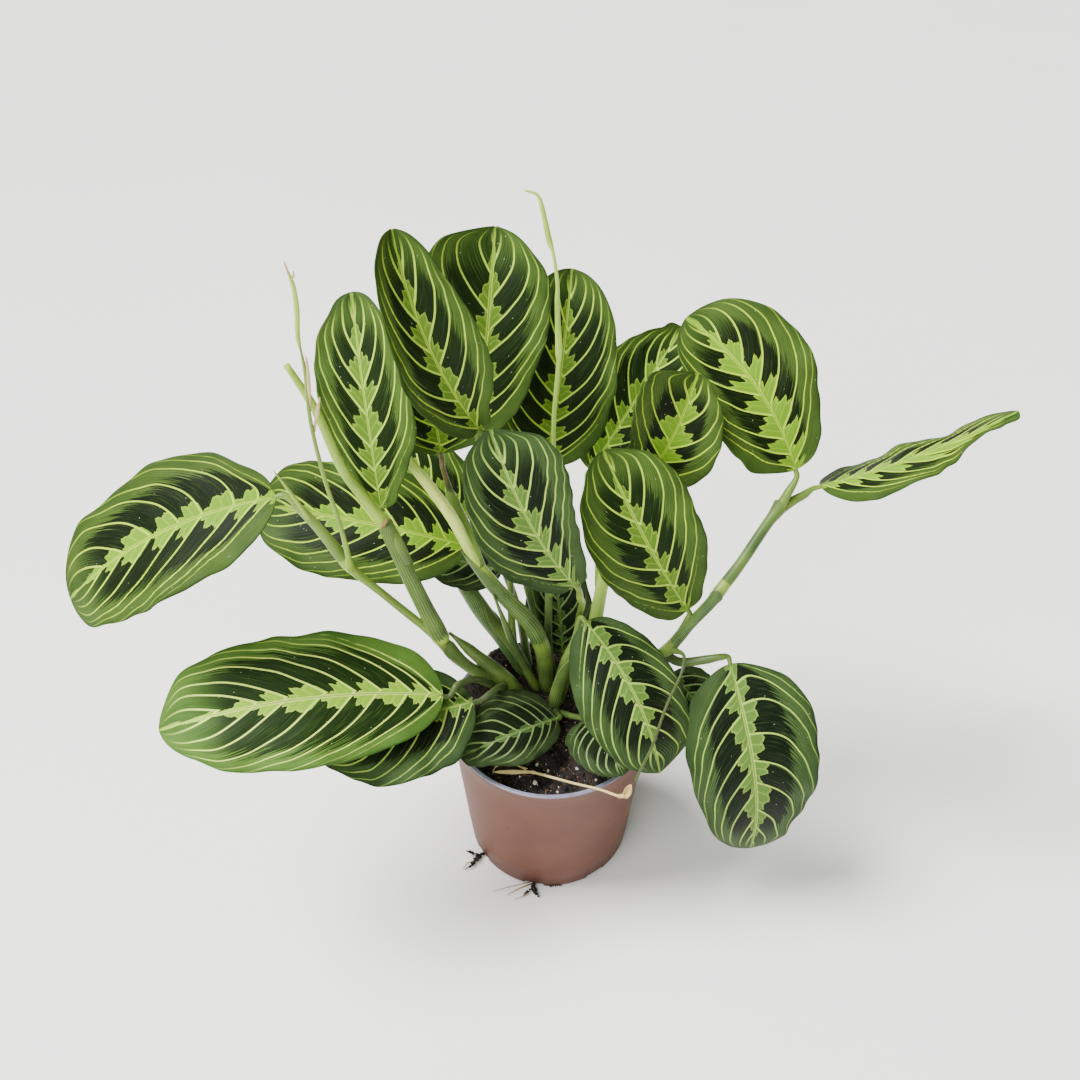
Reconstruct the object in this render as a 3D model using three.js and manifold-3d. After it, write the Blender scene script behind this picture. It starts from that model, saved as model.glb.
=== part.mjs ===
// Potted prayer plant: a maranta with broad oval leaves, in the thin plastic pot it was grown in.
// Every size is in millimetres and every angle in degrees. +Z is up, the origin is the middle of
// the pot's underside, and the side that faces -Y is the front.

import * as THREE from 'three';
import * as BufferGeometryUtils from 'three/addons/utils/BufferGeometryUtils.js';
import Module from 'manifold-3d';

const wasm = await Module();
wasm.setup();

// Pot
const POT_HEIGHT = 108;
const RIM_RADIUS = 60;
const BASE_RADIUS = 51;
const WALL = 1.4;
const FLOOR = 2;
const FOOT_CHAMFER = 1.5;
const LIP = { height: 4, depth: 2.6, proud: 1.2, round: 0.8 };
const POT_SIDES = 40;
const SLOT = { count: 8, firstAngle: 34, width: 12, height: 3.4, depth: 6 };
const DRAIN_HOLE = { count: 4, radius: 3.5, ring: 26, sides: 12 };

// Soil: level near the wall, with a mound that stands above the rim at the back left. A stem that
// starts below the hole reach stands in a hole of its own.
const CLEARANCE = 0.35;
const SOIL_LEVEL = 97;
const SOIL_RADIUS = 55.8;
const SOIL_EDGE = { width: 9, depth: 3 };
const MOUND = { x: -28, y: 30, height: 28, spread: 30, edgeDrop: 0.3 };
const SOIL_LUMP = 1.1;
const HOLE = { reach: 125, points: 4, slack: 0.45 };
const SOIL_RINGS = 7;
const SOIL_SECTORS = 30;

// Leaf blades
const BLADE_THICKNESS = 0.8;
const RIB = { depth: 1.3, taper: 0.8 };
const BLADE_ROWS = 9;
const HALF_COLUMNS = 3;
const BASE_END = { halfWidth: 1, bulge: 2.2, round: 0.5 };
const TIP_END = { halfWidth: 0.5, bulge: 2, round: 0.62 };
const WIDEST = 0.45;
const WAVE = { halfWaves: 5, rightPhase: 1.3 };
const PULVINUS = { length: 4, radius: 1.5, end: 0.9, gap: 0.4 };

// Stems
const STEM_SIDES = 6;
const STEPS_PER_SPAN = 2;

const FINISHES = {
  leaf: { color: 0x35602a, roughness: 0.42, metalness: 0 },
  stem: { color: 0x7d9c4e, roughness: 0.5, metalness: 0 },
  straw: { color: 0xcdb478, roughness: 0.8, metalness: 0 },
  root: { color: 0x1d1712, roughness: 0.95, metalness: 0 },
  soil: { color: 0x241a14, roughness: 0.95, metalness: 0 },
  pot: { color: 0x956552, roughness: 0.45, metalness: 0 },
};

// Each blade has its base and tip, the way its upper side faces, its width, how far its midrib
// bows out of the chord and sways to its left, how steeply each half stands up from the midrib
// (fold) and how much it curls on towards the edge, and the height of the waves along the edge.
// A pair is the left and the right half, seen from the base with the upper side up.
const LEAVES = [
  { name: 'leaf_front_top_left', base: [-35, 15, 301], tip: [-70, 32, 394], face: [0.1, -0.9, 0.4],
    width: 48, bow: 5, sway: 1, fold: 20, curl: 20, wave: 1.5 },
  { name: 'leaf_top_left', base: [-38, 48, 278], tip: [-28, 92, 369], face: [0.1, -0.9, 0.5],
    width: 66, bow: 6, sway: 0, fold: 8, curl: 20, wave: 1.5 },
  { name: 'leaf_left_upright', base: [-86, 8, 258], tip: [-99, 70, 345], face: [-0.1, -0.9, 0.4],
    width: 52, bow: 6, sway: -1, fold: 8, curl: 16, wave: 1.5 },
  { name: 'leaf_centre_upright', base: [12, -12, 223], tip: [-29, 5, 308], face: [-0.1, -0.8, 0.6],
    width: 49, bow: 8, sway: 4, fold: 6, curl: 20, wave: 1.2 },
  { name: 'leaf_top_centre', base: [-2, 62, 245], tip: [11, 112, 337], face: [0.1, -0.8, 0.5],
    width: 62, bow: 6, sway: 0, fold: 12, curl: 16, wave: 1.5 },
  { name: 'leaf_back_right', base: [23, 75, 232], tip: [78, 145, 284], face: [0, -0.7, 0.7],
    width: 56, bow: 8, sway: 0, fold: 8, curl: 16, wave: 1.5 },
  { name: 'leaf_small_right', base: [50, 44, 248], tip: [75, 62, 304], face: [0.1, -0.8, 0.6],
    width: 52, bow: 6, sway: -2, fold: [14, 2], curl: 16, wave: 1.2 },
  { name: 'leaf_large_right', base: [132, 50, 251], tip: [73, 105, 312], face: [0.1, -0.7, 0.7],
    width: 66, bow: 8, sway: -6, fold: 4, curl: 16, wave: 1.5, widest: 0.54 },
  { name: 'leaf_far_right', base: [147, 50, 240], tip: [246, 60, 282], face: [0, 0.32, 1],
    width: 58, bow: -4, sway: 0, fold: -6, curl: -4, wave: 2, widest: 0.36 },
  { name: 'leaf_centre_right', base: [74, 2, 192], tip: [26, 30, 278], face: [0.15, -0.8, 0.6],
    width: 57, bow: 8, sway: 4, fold: 4, curl: 20, wave: 1.5 },
  { name: 'leaf_right_hanging', base: [99, -10, 162], tip: [120, -50, 42], face: [0, -0.9, 0.4],
    width: 72, bow: 22, sway: 4, fold: 4, curl: -10, wave: 2 },
  { name: 'leaf_front_drooping', base: [19, 5, 180], tip: [60, -50, 117], face: [0, -0.7, 0.7],
    width: 63, bow: 14, sway: 6, fold: [-12, 0], curl: -10, wave: 1.5 },
  { name: 'leaf_far_left', base: [-135, 0, 272], tip: [-250, -10, 212], face: [0.1, -0.5, 0.85],
    width: 67, bow: 10, sway: -6, fold: 4, curl: 8, wave: 2, widest: 0.55 },
  { name: 'leaf_mid_left', base: [-46, 31, 213], tip: [-163, 52, 225], face: [0, -0.6, 0.8],
    width: 66, bow: 8, sway: 0, fold: 6, curl: 10, wave: 1.5 },
  { name: 'leaf_bottom_left', base: [-59, -25, 153], tip: [-201, -60, 167], face: [0, -0.5, 0.85],
    width: 67, bow: 12, sway: -5, fold: 6, curl: -6, wave: 2 },
  { name: 'leaf_under_left', base: [-43, -22, 144], tip: [-127, -50, 137], face: [0, -0.36, 0.94],
    width: 66, bow: 5, sway: 0, fold: [2, -5], curl: -8, wave: 1.5 },
  { name: 'leaf_over_rim', base: [4, -10, 115], tip: [-50, -46, 126], face: [0, -0.5, 0.85],
    width: 46, bow: 7, sway: 0, fold: 4, curl: -8, wave: 1 },
  { name: 'leaf_on_soil', base: [20, -14, 118], tip: [40, -52, 118], face: [0, -0.3, 0.95],
    width: 40, bow: 5, sway: 0, fold: 4, curl: 4, wave: 1 },
  { name: 'leaf_behind_centre', base: [8, 31, 126], tip: [2, 54, 190], face: [0, -0.9, 0.3],
    width: 40, bow: 4, sway: 0, fold: 6, curl: 10, wave: 1 },
  { name: 'leaf_small_behind', base: [-59, 52, 260], tip: [-67, 85, 316], face: [0, -0.9, 0.4],
    width: 50, bow: 5, sway: 0, fold: 8, curl: 10, wave: 1 },
  { name: 'leaf_behind_stems', base: [-46, 60, 210], tip: [-98, 96, 240], face: [0, -0.8, 0.5],
    width: 48, bow: 5, sway: 0, fold: 8, curl: 10, wave: 1 },
  { name: 'leaf_below_mid_left', base: [-28, 42, 184], tip: [-72, 52, 187], face: [0, -0.6, 0.8],
    width: 34, bow: 4, sway: 0, fold: 6, curl: 10, wave: 1 },
  { name: 'leaf_behind_right', base: [70, 2, 141], tip: [90, -10, 116], face: [0, -0.6, 0.8],
    width: 32, bow: 5, sway: 0, fold: 4, curl: 4, wave: 1 },
];

// Each shoot is one grown piece: jointed stems with swollen nodes, pointed sheaths and petioles.
// A point is x, y, z and radius. A path with a blade runs on to that blade's base.
const SHOOTS = [
  { name: 'shoot_left', paths: [
    { points: [[-10, 6, 92, 3.4], [-17, 4, 114, 3.4], [-29, 2, 130, 3.2], [-48, 0, 150, 3],
      [-59, -2, 170, 3.8], [-61, -2, 176, 6], [-69, -2, 203, 5.4], [-80, 0, 240, 4.3], [-84, 1, 252, 4.6],
      [-86, 1, 257, 3.6], [-92, 1, 270, 3.2], [-100, 0, 288, 2.9], [-109, 2, 322, 2.4],
      [-119, 5, 343, 1.8]] },
    { points: [[-61, -2, 174, 3.6], [-72, -3, 188, 2.8], [-90, -5, 213, 2.6], [-102, -6, 229, 2.8],
      [-104, -6, 233, 4.2], [-119, -3, 260, 3]], blade: 'leaf_far_left' },
    { points: [[-103, -7, 230, 2.4], [-102, -10, 244, 1.8], [-103, -12, 266, 1.3], [-106, -13, 293, 1.1],
      [-108, -12, 325, 1], [-107, -10, 352, 0.9], [-108, -8, 366, 1.3], [-107, -6, 380, 1.9],
      [-107, -5, 388, 1.4], [-108, -5, 396, 0.8]] },
    { points: [[-107, -10, 350, 0.9], [-106, -11, 362, 1.2], [-106, -12, 370, 0.7]] },
    { points: [[-9, 5, 92, 3], [-17, 5, 116, 4.6], [-28, 5, 134, 5], [-44, 4, 156, 3.4],
      [-56, 2, 174, 0.9]] },
    { points: [[-84, 1, 250, 3], [-85, 4, 254, 2]], blade: 'leaf_left_upright' },
    { points: [[-22, 3, 122, 2.6], [-32, -2, 134, 2.2], [-43, -10, 149, 2], [-52, -19, 154, 1.8]],
      blade: 'leaf_bottom_left' },
    { points: [[-27, 2, 127, 2.4], [-28, -6, 139, 2], [-33, -15, 144, 1.8]], blade: 'leaf_under_left' },
  ] },
  { name: 'shoot_middle', paths: [
    { points: [[-1, 18, 90, 4.4], [-2, 16, 108, 4.6], [-4, 13, 146, 5.4], [-6, 12, 156, 5.8],
      [-12, 12, 172, 5], [-30, 13, 198, 4.8], [-41, 16, 216, 4.6], [-52, 20, 242, 4.4], [-63, 23, 261, 4.2],
      [-72, 25, 275, 3.8], [-76, 26, 284, 2]] },
    { points: [[-38, 15, 212, 3.4], [-46, 24, 230, 4], [-53, 35, 243, 3.4], [-58, 45, 252, 2]],
      blade: 'leaf_small_behind' },
    { points: [[-3, 20, 92, 3.4], [-11, 22, 110, 4], [-19, 22, 128, 5], [-27, 22, 148, 5.2],
      [-37, 22, 166, 4.8], [-44, 24, 181, 3.6], [-44, 28, 199, 2]], blade: 'leaf_mid_left' },
    { points: [[-2, 17, 94, 2.4], [-10, 13, 120, 2.8], [-22, 10, 160, 2.2],
      [-31, 8, 197, 0.7]] },
    { points: [[-12, 23, 114, 3], [-20, 48, 150, 2.4], [-34, 62, 186, 2]], blade: 'leaf_behind_stems' },
    { points: [[-22, 22, 136, 3], [-23, 34, 160, 2.2]], blade: 'leaf_below_mid_left' },
  ] },
  { name: 'shoot_centre', paths: [
    { points: [[4, 28, 90, 3], [2, 26, 110, 3], [-1, 24, 138, 2.6], [-1, 29, 180, 2.2],
      [-2, 46, 220, 2]], blade: 'leaf_top_centre' },
    { points: [[-1, 24, 140, 2.6], [-8, 26, 160, 2], [-17, 29, 203, 2], [-27, 27, 256, 1.9],
      [-33, 21, 286, 1.8]], blade: 'leaf_front_top_left' },
    { points: [[-14, 28, 190, 2], [-24, 36, 225, 1.9], [-34, 44, 255, 1.8]], blade: 'leaf_top_left' },
    { points: [[-1, 28, 176, 2], [4, 34, 206, 1.6], [2, 42, 250, 1.3], [1, 40, 290, 1.2], [3, 38, 324, 1.3],
      [3, 38, 330, 2.2], [2, 39, 356, 1.6], [2, 40, 364, 1.1], [0, 42, 378, 1], [-2, 44, 384, 2],
      [-5, 47, 397, 1.5], [-7, 49, 402, 0.9], [-13, 50, 404, 0.6]] },
    { points: [[2, 27, 104, 2.6], [8, 23, 116, 2.2]], blade: 'leaf_behind_centre' },
  ] },
  { name: 'shoot_back', paths: [
    { points: [[18, 20, 88, 3.2], [18, 20, 109, 3.4], [26, 24, 160, 3.8], [30, 28, 194, 3.8],
      [39, 35, 226, 2.8]], blade: 'leaf_small_right' },
    { points: [[28, 27, 186, 3], [27, 45, 208, 2.2], [24, 64, 224, 2]], blade: 'leaf_back_right' },
  ] },
  { name: 'shoot_right', paths: [
    { points: [[16, 4, 90, 3.2], [24, 0, 113, 3.2], [42, 4, 136, 3], [59, 0, 157, 3.2],
      [65, -2, 165, 4.2], [76, 0, 183, 3.2], [87, 1, 201, 3.2], [90, 4, 204, 3.9], [101, 14, 214, 3],
      [117, 32, 228, 2.9], [124, 39, 234, 3.2], [128, 43, 240, 2]], blade: 'leaf_large_right' },
    { points: [[122, 37, 231, 3], [132, 43, 235, 2.4], [138, 46, 236, 2]], blade: 'leaf_far_right' },
    { points: [[65, -2, 164, 3], [71, 0, 176, 2.4], [74, 1, 185, 1.9]], blade: 'leaf_centre_right' },
    { points: [[63, -2, 162, 2.8], [71, -4, 154, 2.4], [85, -7, 158, 2]], blade: 'leaf_right_hanging' },
    { points: [[41, 4, 136, 2.4], [54, 5, 139, 2]], blade: 'leaf_behind_right' },
    { points: [[67, -3, 166, 2.2], [72, -14, 173, 1.5], [70, -24, 171, 1.2], [62, -36, 159, 1],
      [54, -49, 138, 1], [49, -54, 127, 1], [46, -56, 117, 0.9]] },
  ] },
  { name: 'shoot_front', paths: [
    { points: [[2, 4, 90, 3], [3, 5, 112, 4], [8, 5, 144, 3.4], [14, 5, 168, 2.2]],
      blade: 'leaf_front_drooping' },
    { points: [[3, 5, 94, 2.6], [8, 11, 114, 2.4], [13, 15, 139, 2.1], [16, 16, 172, 2],
      [17, 8, 191, 2], [15, -5, 208, 2.1]], blade: 'leaf_centre_upright' },
    { points: [[3, 4, 106, 2.6], [4, -4, 111, 1.9]], blade: 'leaf_over_rim' },
    { points: [[3, 4, 104, 2.4], [12, -5, 111, 1.8]], blade: 'leaf_on_soil' },
  ] },
];

// A dead flower stalk that lies on the soil and over the rim, with its dry husks
const DRY_STALK = [
  { points: [[-32, -38, 101.6, 0.7], [-26, -38, 101.9, 2], [-16, -38.5, 103.2, 2.2],
    [-10, -39.5, 103.4, 1.2], [0, -43, 104.6, 1.1], [14, -49, 107.6, 1.1], [27, -54, 110, 1.1], [37, -58.5, 110.7, 1]] },
  { points: [[36, -58, 110.7, 1], [41, -61, 111.2, 1.4], [42, -61, 115, 2.6], [41, -61, 120, 1.6],
    [41, -60, 124, 0.6]] },
];

// Peat and dead roots that have grown out through two of the slots: the slot's number, then strands
// as distance out from the axis, sideways, height and radius
const ROOT_TUFTS = [
  { name: 'root_tuft_left', slot: 4, strands: [
    [[50, 0, 1.7, 1], [54, 0, 1.8, 1.3], [57, 1, 2.2, 2], [62, 3, 2.2, 1.4], [67, 3, 1.2, 0.6]],
    [[55, 0, 2, 1.2], [58, -4, 3.4, 1.6], [60, -6, 4.4, 0.7]],
  ] },
  { name: 'root_tuft_front', slot: 5, strands: [
    [[50, 0, 1.7, 1], [54, 0, 1.8, 1.3], [56, 2, 2.2, 1.9], [59, 5, 1.8, 0.8]],
    [[53, 0, 1.8, 1], [57, -3, 1.6, 1.1], [62, -9, 1.2, 0.7]],
  ] },
];

function vector(list) {
  return new THREE.Vector3(list[0], list[1], list[2]);
}

function halves(value) {
  return Array.isArray(value) ? value : [value, value];
}

// A geometry from its points and its triangles, three indices each
function geometryFrom(points, triangles) {
  const geometry = new THREE.BufferGeometry();
  const coordinates = points.flatMap((point) => point.toArray());
  geometry.setAttribute('position', new THREE.Float32BufferAttribute(coordinates, 3));
  geometry.setIndex(triangles);
  return geometry;
}

function toSolid(geometry) {
  const bare = geometry.clone();
  bare.deleteAttribute('normal');
  bare.deleteAttribute('uv');
  const merged = BufferGeometryUtils.mergeVertices(bare, 1e-4);
  return new wasm.Manifold(new wasm.Mesh({
    numProp: 3,
    vertProperties: new Float32Array(merged.attributes.position.array),
    triVerts: new Uint32Array(merged.index.array),
  }));
}

function toGeometry(solid) {
  const mesh = solid.getMesh();
  const geometry = new THREE.BufferGeometry();
  geometry.setAttribute('position', new THREE.Float32BufferAttribute(mesh.vertProperties, 3));
  geometry.setIndex(Array.from(mesh.triVerts));
  return geometry;
}

function union(solids) {
  return solids.reduce((joined, solid) => joined.add(solid));
}

function namedMesh(name, solid, finish) {
  const material = new THREE.MeshStandardMaterial(FINISHES[finish]);
  const mesh = new THREE.Mesh(toGeometry(solid), material);
  mesh.name = name;
  return mesh;
}

// Half the blade's width at a share of its length: rounded at the base, drawn in to a short tip
function halfWidth(leaf, along) {
  const widest = leaf.widest ?? WIDEST;
  const end = along < widest ? BASE_END : TIP_END;
  const reach = along < widest ? (widest - along) / widest : (along - widest) / (1 - widest);
  return Math.max(end.halfWidth, (leaf.width / 2) * (1 - reach ** end.bulge) ** end.round);
}

// The chord frame of a blade: along to the tip, up out of its upper side, and left across
function chordFrame(leaf) {
  const base = vector(leaf.base);
  const chord = vector(leaf.tip).sub(base);
  const length = chord.length();
  const along = chord.normalize();
  const up = vector(leaf.face);
  up.addScaledVector(along, -up.dot(along)).normalize();
  const left = new THREE.Vector3().crossVectors(up, along);
  return { base, length, along, up, left };
}

// A point of the blade's upper surface and the way it faces there, at a share of the length and
// a share of the half width, negative on the right half
function bladePoint(leaf, share, across) {
  const { base, length, along, up, left } = chordFrame(leaf);
  const arch = 4 * share * (1 - share);
  const slope = 4 * (1 - 2 * share);
  const middle = base.addScaledVector(along, length * share)
    .addScaledVector(up, leaf.bow * arch)
    .addScaledVector(left, leaf.sway * arch);
  const tangent = along.clone().multiplyScalar(length)
    .addScaledVector(up, leaf.bow * slope)
    .addScaledVector(left, leaf.sway * slope)
    .normalize();
  const side = left.clone().addScaledVector(tangent, -left.dot(tangent)).normalize();
  const normal = new THREE.Vector3().crossVectors(tangent, side);

  const onRight = across < 0;
  const hand = onRight ? -1 : 1;
  const reach = Math.abs(across);
  const fold = THREE.MathUtils.degToRad(halves(leaf.fold)[onRight ? 1 : 0]);
  const curl = THREE.MathUtils.degToRad(halves(leaf.curl)[onRight ? 1 : 0]);
  const width = halfWidth(leaf, share);
  const out = width * (Math.sin(fold + curl * reach) - Math.sin(fold)) / curl;
  const rise = width * (Math.cos(fold) - Math.cos(fold + curl * reach)) / curl;
  const phase = WAVE.halfWaves * Math.PI * share + (onRight ? WAVE.rightPhase : 0);
  const ripple = leaf.wave * reach ** 2 * Math.sin(phase) * Math.sin(Math.PI * share);
  const lean = fold + curl * reach;
  return {
    point: middle.addScaledVector(side, hand * out).addScaledVector(normal, rise + ripple),
    facing: normal.clone().multiplyScalar(Math.cos(lean)).addScaledVector(side, -hand * Math.sin(lean)),
    tangent,
  };
}

// A blade is two like sheets, upper and lower, closed round the edge. The lower one hangs down
// under the midrib, where the rib stands out.
function bladeSolid(leaf) {
  const columns = 2 * HALF_COLUMNS + 1;
  const upper = [];
  const lower = [];
  for (let row = 0; row <= BLADE_ROWS; row += 1) {
    const share = 0.5 - 0.5 * Math.cos(Math.PI * row / BLADE_ROWS);
    for (let column = 0; column < columns; column += 1) {
      const across = column / HALF_COLUMNS - 1;
      const { point, facing } = bladePoint(leaf, share, across);
      const rib = column === HALF_COLUMNS ? RIB.depth * (1 - RIB.taper * share) : 0;
      upper.push(point);
      lower.push(point.clone().addScaledVector(facing, -BLADE_THICKNESS - rib));
    }
  }
  const count = upper.length;
  const triangles = [];
  const strip = (a, b, c, d) => triangles.push(a, b, c, a, c, d);
  for (let row = 0; row < BLADE_ROWS; row += 1) {
    for (let column = 0; column < columns - 1; column += 1) {
      const a = row * columns + column;
      const b = a + 1;
      const c = b + columns;
      const d = a + columns;
      triangles.push(a, c, b, a, d, c);
      triangles.push(a + count, b + count, c + count, a + count, c + count, d + count);
    }
    const rightEdge = row * columns;
    const leftEdge = rightEdge + columns - 1;
    strip(rightEdge, rightEdge + count, rightEdge + columns + count, rightEdge + columns);
    strip(leftEdge, leftEdge + columns, leftEdge + columns + count, leftEdge + count);
  }
  const lastRow = BLADE_ROWS * columns;
  for (let column = 0; column < columns - 1; column += 1) {
    strip(column, column + 1, column + 1 + count, column + count);
    const a = lastRow + column;
    strip(a, a + count, a + 1 + count, a + 1);
  }
  return toSolid(geometryFrom(upper.concat(lower), triangles));
}

// The last stretch of a petiole, bent in line with the blade that it carries
function petioleEnd(name) {
  const leaf = LEAVES.find((one) => one.name === name);
  const { point, facing, tangent } = bladePoint(leaf, 0, 0);
  const middle = point.addScaledVector(facing, -(BLADE_THICKNESS + RIB.depth) / 2);
  const start = middle.clone().addScaledVector(tangent, -PULVINUS.length);
  const end = middle.clone().addScaledVector(tangent, -PULVINUS.gap);
  return [[...start.toArray(), PULVINUS.radius], [...end.toArray(), PULVINUS.end]];
}

function fullPath(path) {
  return path.blade ? path.points.concat(petioleEnd(path.blade)) : path.points;
}

// A round stem along a smooth curve through the points, with the radius of each, capped flat
function stemSolid(points, extra = 0) {
  const curve = new THREE.CatmullRomCurve3(points.map(vector), false, 'centripetal');
  const steps = (points.length - 1) * STEPS_PER_SPAN;
  const rings = [];
  let across = null;
  for (let step = 0; step <= steps; step += 1) {
    const centre = curve.getPoint(step / steps);
    const along = curve.getTangent(step / steps);
    if (step === 0) centre.addScaledVector(along, -extra);
    if (!across) across = new THREE.Vector3(along.y, along.z, along.x).cross(along);
    across.addScaledVector(along, -across.dot(along)).normalize();
    const other = new THREE.Vector3().crossVectors(along, across);
    const place = step / STEPS_PER_SPAN;
    const before = Math.min(Math.floor(place), points.length - 2);
    const radius = THREE.MathUtils.lerp(points[before][3], points[before + 1][3], place - before) + extra;
    for (let side = 0; side < STEM_SIDES; side += 1) {
      const angle = 2 * Math.PI * side / STEM_SIDES;
      rings.push(centre.clone()
        .addScaledVector(across, radius * Math.cos(angle))
        .addScaledVector(other, radius * Math.sin(angle)));
    }
  }
  const triangles = [];
  for (let step = 0; step < steps; step += 1) {
    for (let side = 0; side < STEM_SIDES; side += 1) {
      const a = step * STEM_SIDES + side;
      const b = step * STEM_SIDES + (side + 1) % STEM_SIDES;
      triangles.push(a, b, b + STEM_SIDES, a, b + STEM_SIDES, a + STEM_SIDES);
    }
  }
  const last = steps * STEM_SIDES;
  for (let side = 1; side < STEM_SIDES - 1; side += 1) {
    triangles.push(0, side + 1, side);
    triangles.push(last, last + side, last + side + 1);
  }
  return toSolid(geometryFrom(rings, triangles));
}

function shootSolid(shoot) {
  return union(shoot.paths.map((path) => stemSolid(fullPath(path))));
}

// Pot: a lathed shell with a rolled lip, drainage slots cut at the foot and holes in the floor
function outerRadius(height) {
  const top = RIM_RADIUS - LIP.proud;
  return THREE.MathUtils.lerp(BASE_RADIUS, top, height / (POT_HEIGHT - LIP.height));
}

function potSolid() {
  const lipBottom = POT_HEIGHT - LIP.height;
  const innerLip = RIM_RADIUS - LIP.depth;
  const profile = [
    [0, 0], [BASE_RADIUS - FOOT_CHAMFER, 0], [BASE_RADIUS, FOOT_CHAMFER],
    [outerRadius(lipBottom), lipBottom], [RIM_RADIUS, lipBottom + LIP.round],
    [RIM_RADIUS, POT_HEIGHT - LIP.round], [RIM_RADIUS - LIP.round, POT_HEIGHT],
    [innerLip + LIP.round, POT_HEIGHT], [innerLip, POT_HEIGHT - LIP.round],
    [BASE_RADIUS - WALL, FLOOR], [0, FLOOR],
  ].map(([radius, height]) => new THREE.Vector2(radius, height));
  const shell = new THREE.LatheGeometry(profile, POT_SIDES).rotateX(Math.PI / 2);
  let pot = toSolid(shell);
  for (let index = 0; index < SLOT.count; index += 1) {
    const slot = new THREE.BoxGeometry(SLOT.depth * 2, SLOT.width, SLOT.height * 2);
    slot.translate(BASE_RADIUS + 1, 0, 0).rotateZ(slotAngle(index));
    pot = pot.subtract(toSolid(slot));
  }
  for (let index = 0; index < DRAIN_HOLE.count; index += 1) {
    const { radius, sides } = DRAIN_HOLE;
    const hole = new THREE.CylinderGeometry(radius, radius, 4 * FLOOR, sides);
    hole.rotateX(Math.PI / 2).translate(DRAIN_HOLE.ring, 0, 0);
    hole.rotateZ(2 * Math.PI * (index + 0.5) / DRAIN_HOLE.count);
    pot = pot.subtract(toSolid(hole));
  }
  return pot;
}

function slotAngle(index) {
  return THREE.MathUtils.degToRad(SLOT.firstAngle) + 2 * Math.PI * index / SLOT.count;
}

function soilHeight(x, y) {
  const away = (x - MOUND.x) ** 2 + (y - MOUND.y) ** 2;
  const mound = MOUND.height * Math.exp(-away / (2 * MOUND.spread ** 2));
  const lumps = SOIL_LUMP * (Math.sin(0.31 * x + 0.17 * y) + Math.sin(0.23 * y - 0.29 * x + 1));
  const edge = THREE.MathUtils.smoothstep(Math.hypot(x, y), SOIL_RADIUS - SOIL_EDGE.width, SOIL_RADIUS);
  return SOIL_LEVEL + mound * (1 - MOUND.edgeDrop * edge) + lumps * (1 - edge);
}

// Soil: fills the pot from its floor up, with a plain hole round everything that is rooted in it
function soilSolid() {
  const topRings = Array.from({ length: SOIL_RINGS }, (unused, ring) => (
    { radius: SOIL_RADIUS * (ring + 1) / SOIL_RINGS, height: null }));
  const bottom = FLOOR + CLEARANCE;
  const rings = topRings.concat([
    { radius: SOIL_RADIUS, height: SOIL_LEVEL - SOIL_EDGE.depth },
    { radius: BASE_RADIUS - WALL - 2 * CLEARANCE, height: bottom },
  ]);
  const points = [new THREE.Vector3(0, 0, soilHeight(0, 0))];
  for (const ring of rings) {
    for (let sector = 0; sector < SOIL_SECTORS; sector += 1) {
      const angle = 2 * Math.PI * sector / SOIL_SECTORS;
      const x = ring.radius * Math.cos(angle);
      const y = ring.radius * Math.sin(angle);
      points.push(new THREE.Vector3(x, y, ring.height ?? soilHeight(x, y)));
    }
  }
  points.push(new THREE.Vector3(0, 0, bottom));
  const at = (ring, sector) => 1 + ring * SOIL_SECTORS + sector % SOIL_SECTORS;
  const triangles = [];
  for (let sector = 0; sector < SOIL_SECTORS; sector += 1) {
    triangles.push(0, at(0, sector), at(0, sector + 1));
    for (let ring = 0; ring < rings.length - 1; ring += 1) {
      triangles.push(at(ring, sector), at(ring + 1, sector), at(ring + 1, sector + 1));
      triangles.push(at(ring, sector), at(ring + 1, sector + 1), at(ring, sector + 1));
    }
    triangles.push(at(rings.length - 1, sector), points.length - 1, at(rings.length - 1, sector + 1));
  }
  const heap = toSolid(geometryFrom(points, triangles));
  const holes = SHOOTS.flatMap((shoot) => shoot.paths)
    .filter((path) => path.points[0][2] < HOLE.reach)
    .map((path) => stemSolid(fullPath(path).slice(0, HOLE.points), HOLE.slack));
  return holes.reduce((soil, hole) => soil.subtract(hole), heap);
}

function tuftSolid(tuft) {
  const angle = slotAngle(tuft.slot);
  const outward = new THREE.Vector3(Math.cos(angle), Math.sin(angle), 0);
  const sideways = new THREE.Vector3(-Math.sin(angle), Math.cos(angle), 0);
  return union(tuft.strands.map((strand) => stemSolid(strand.map(([out, side, height, radius]) => {
    const place = outward.clone().multiplyScalar(out).addScaledVector(sideways, side).setZ(height);
    return [...place.toArray(), radius];
  }))));
}

const group = new THREE.Group();
group.add(namedMesh('pot', potSolid(), 'pot'));
group.add(namedMesh('soil', soilSolid(), 'soil'));
for (const shoot of SHOOTS) group.add(namedMesh(shoot.name, shootSolid(shoot), 'stem'));
group.add(namedMesh('dry_stalk', union(DRY_STALK.map((path) => stemSolid(path.points))), 'straw'));
for (const tuft of ROOT_TUFTS) group.add(namedMesh(tuft.name, tuftSolid(tuft), 'root'));
for (const leaf of LEAVES) group.add(namedMesh(leaf.name, bladeSolid(leaf), 'leaf'));

export default group;
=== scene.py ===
# Potted prayer plant: a maranta in the thin plastic pot that it was grown in. Sizes are in
# millimetres where a name or comment says so, and the finished meshes are in metres.
import math
import random
from dataclasses import dataclass, replace

import bmesh
import bpy
from bpy.props import FloatProperty, FloatVectorProperty, IntProperty, PointerProperty
from mathutils import Matrix, Vector, noise


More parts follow.
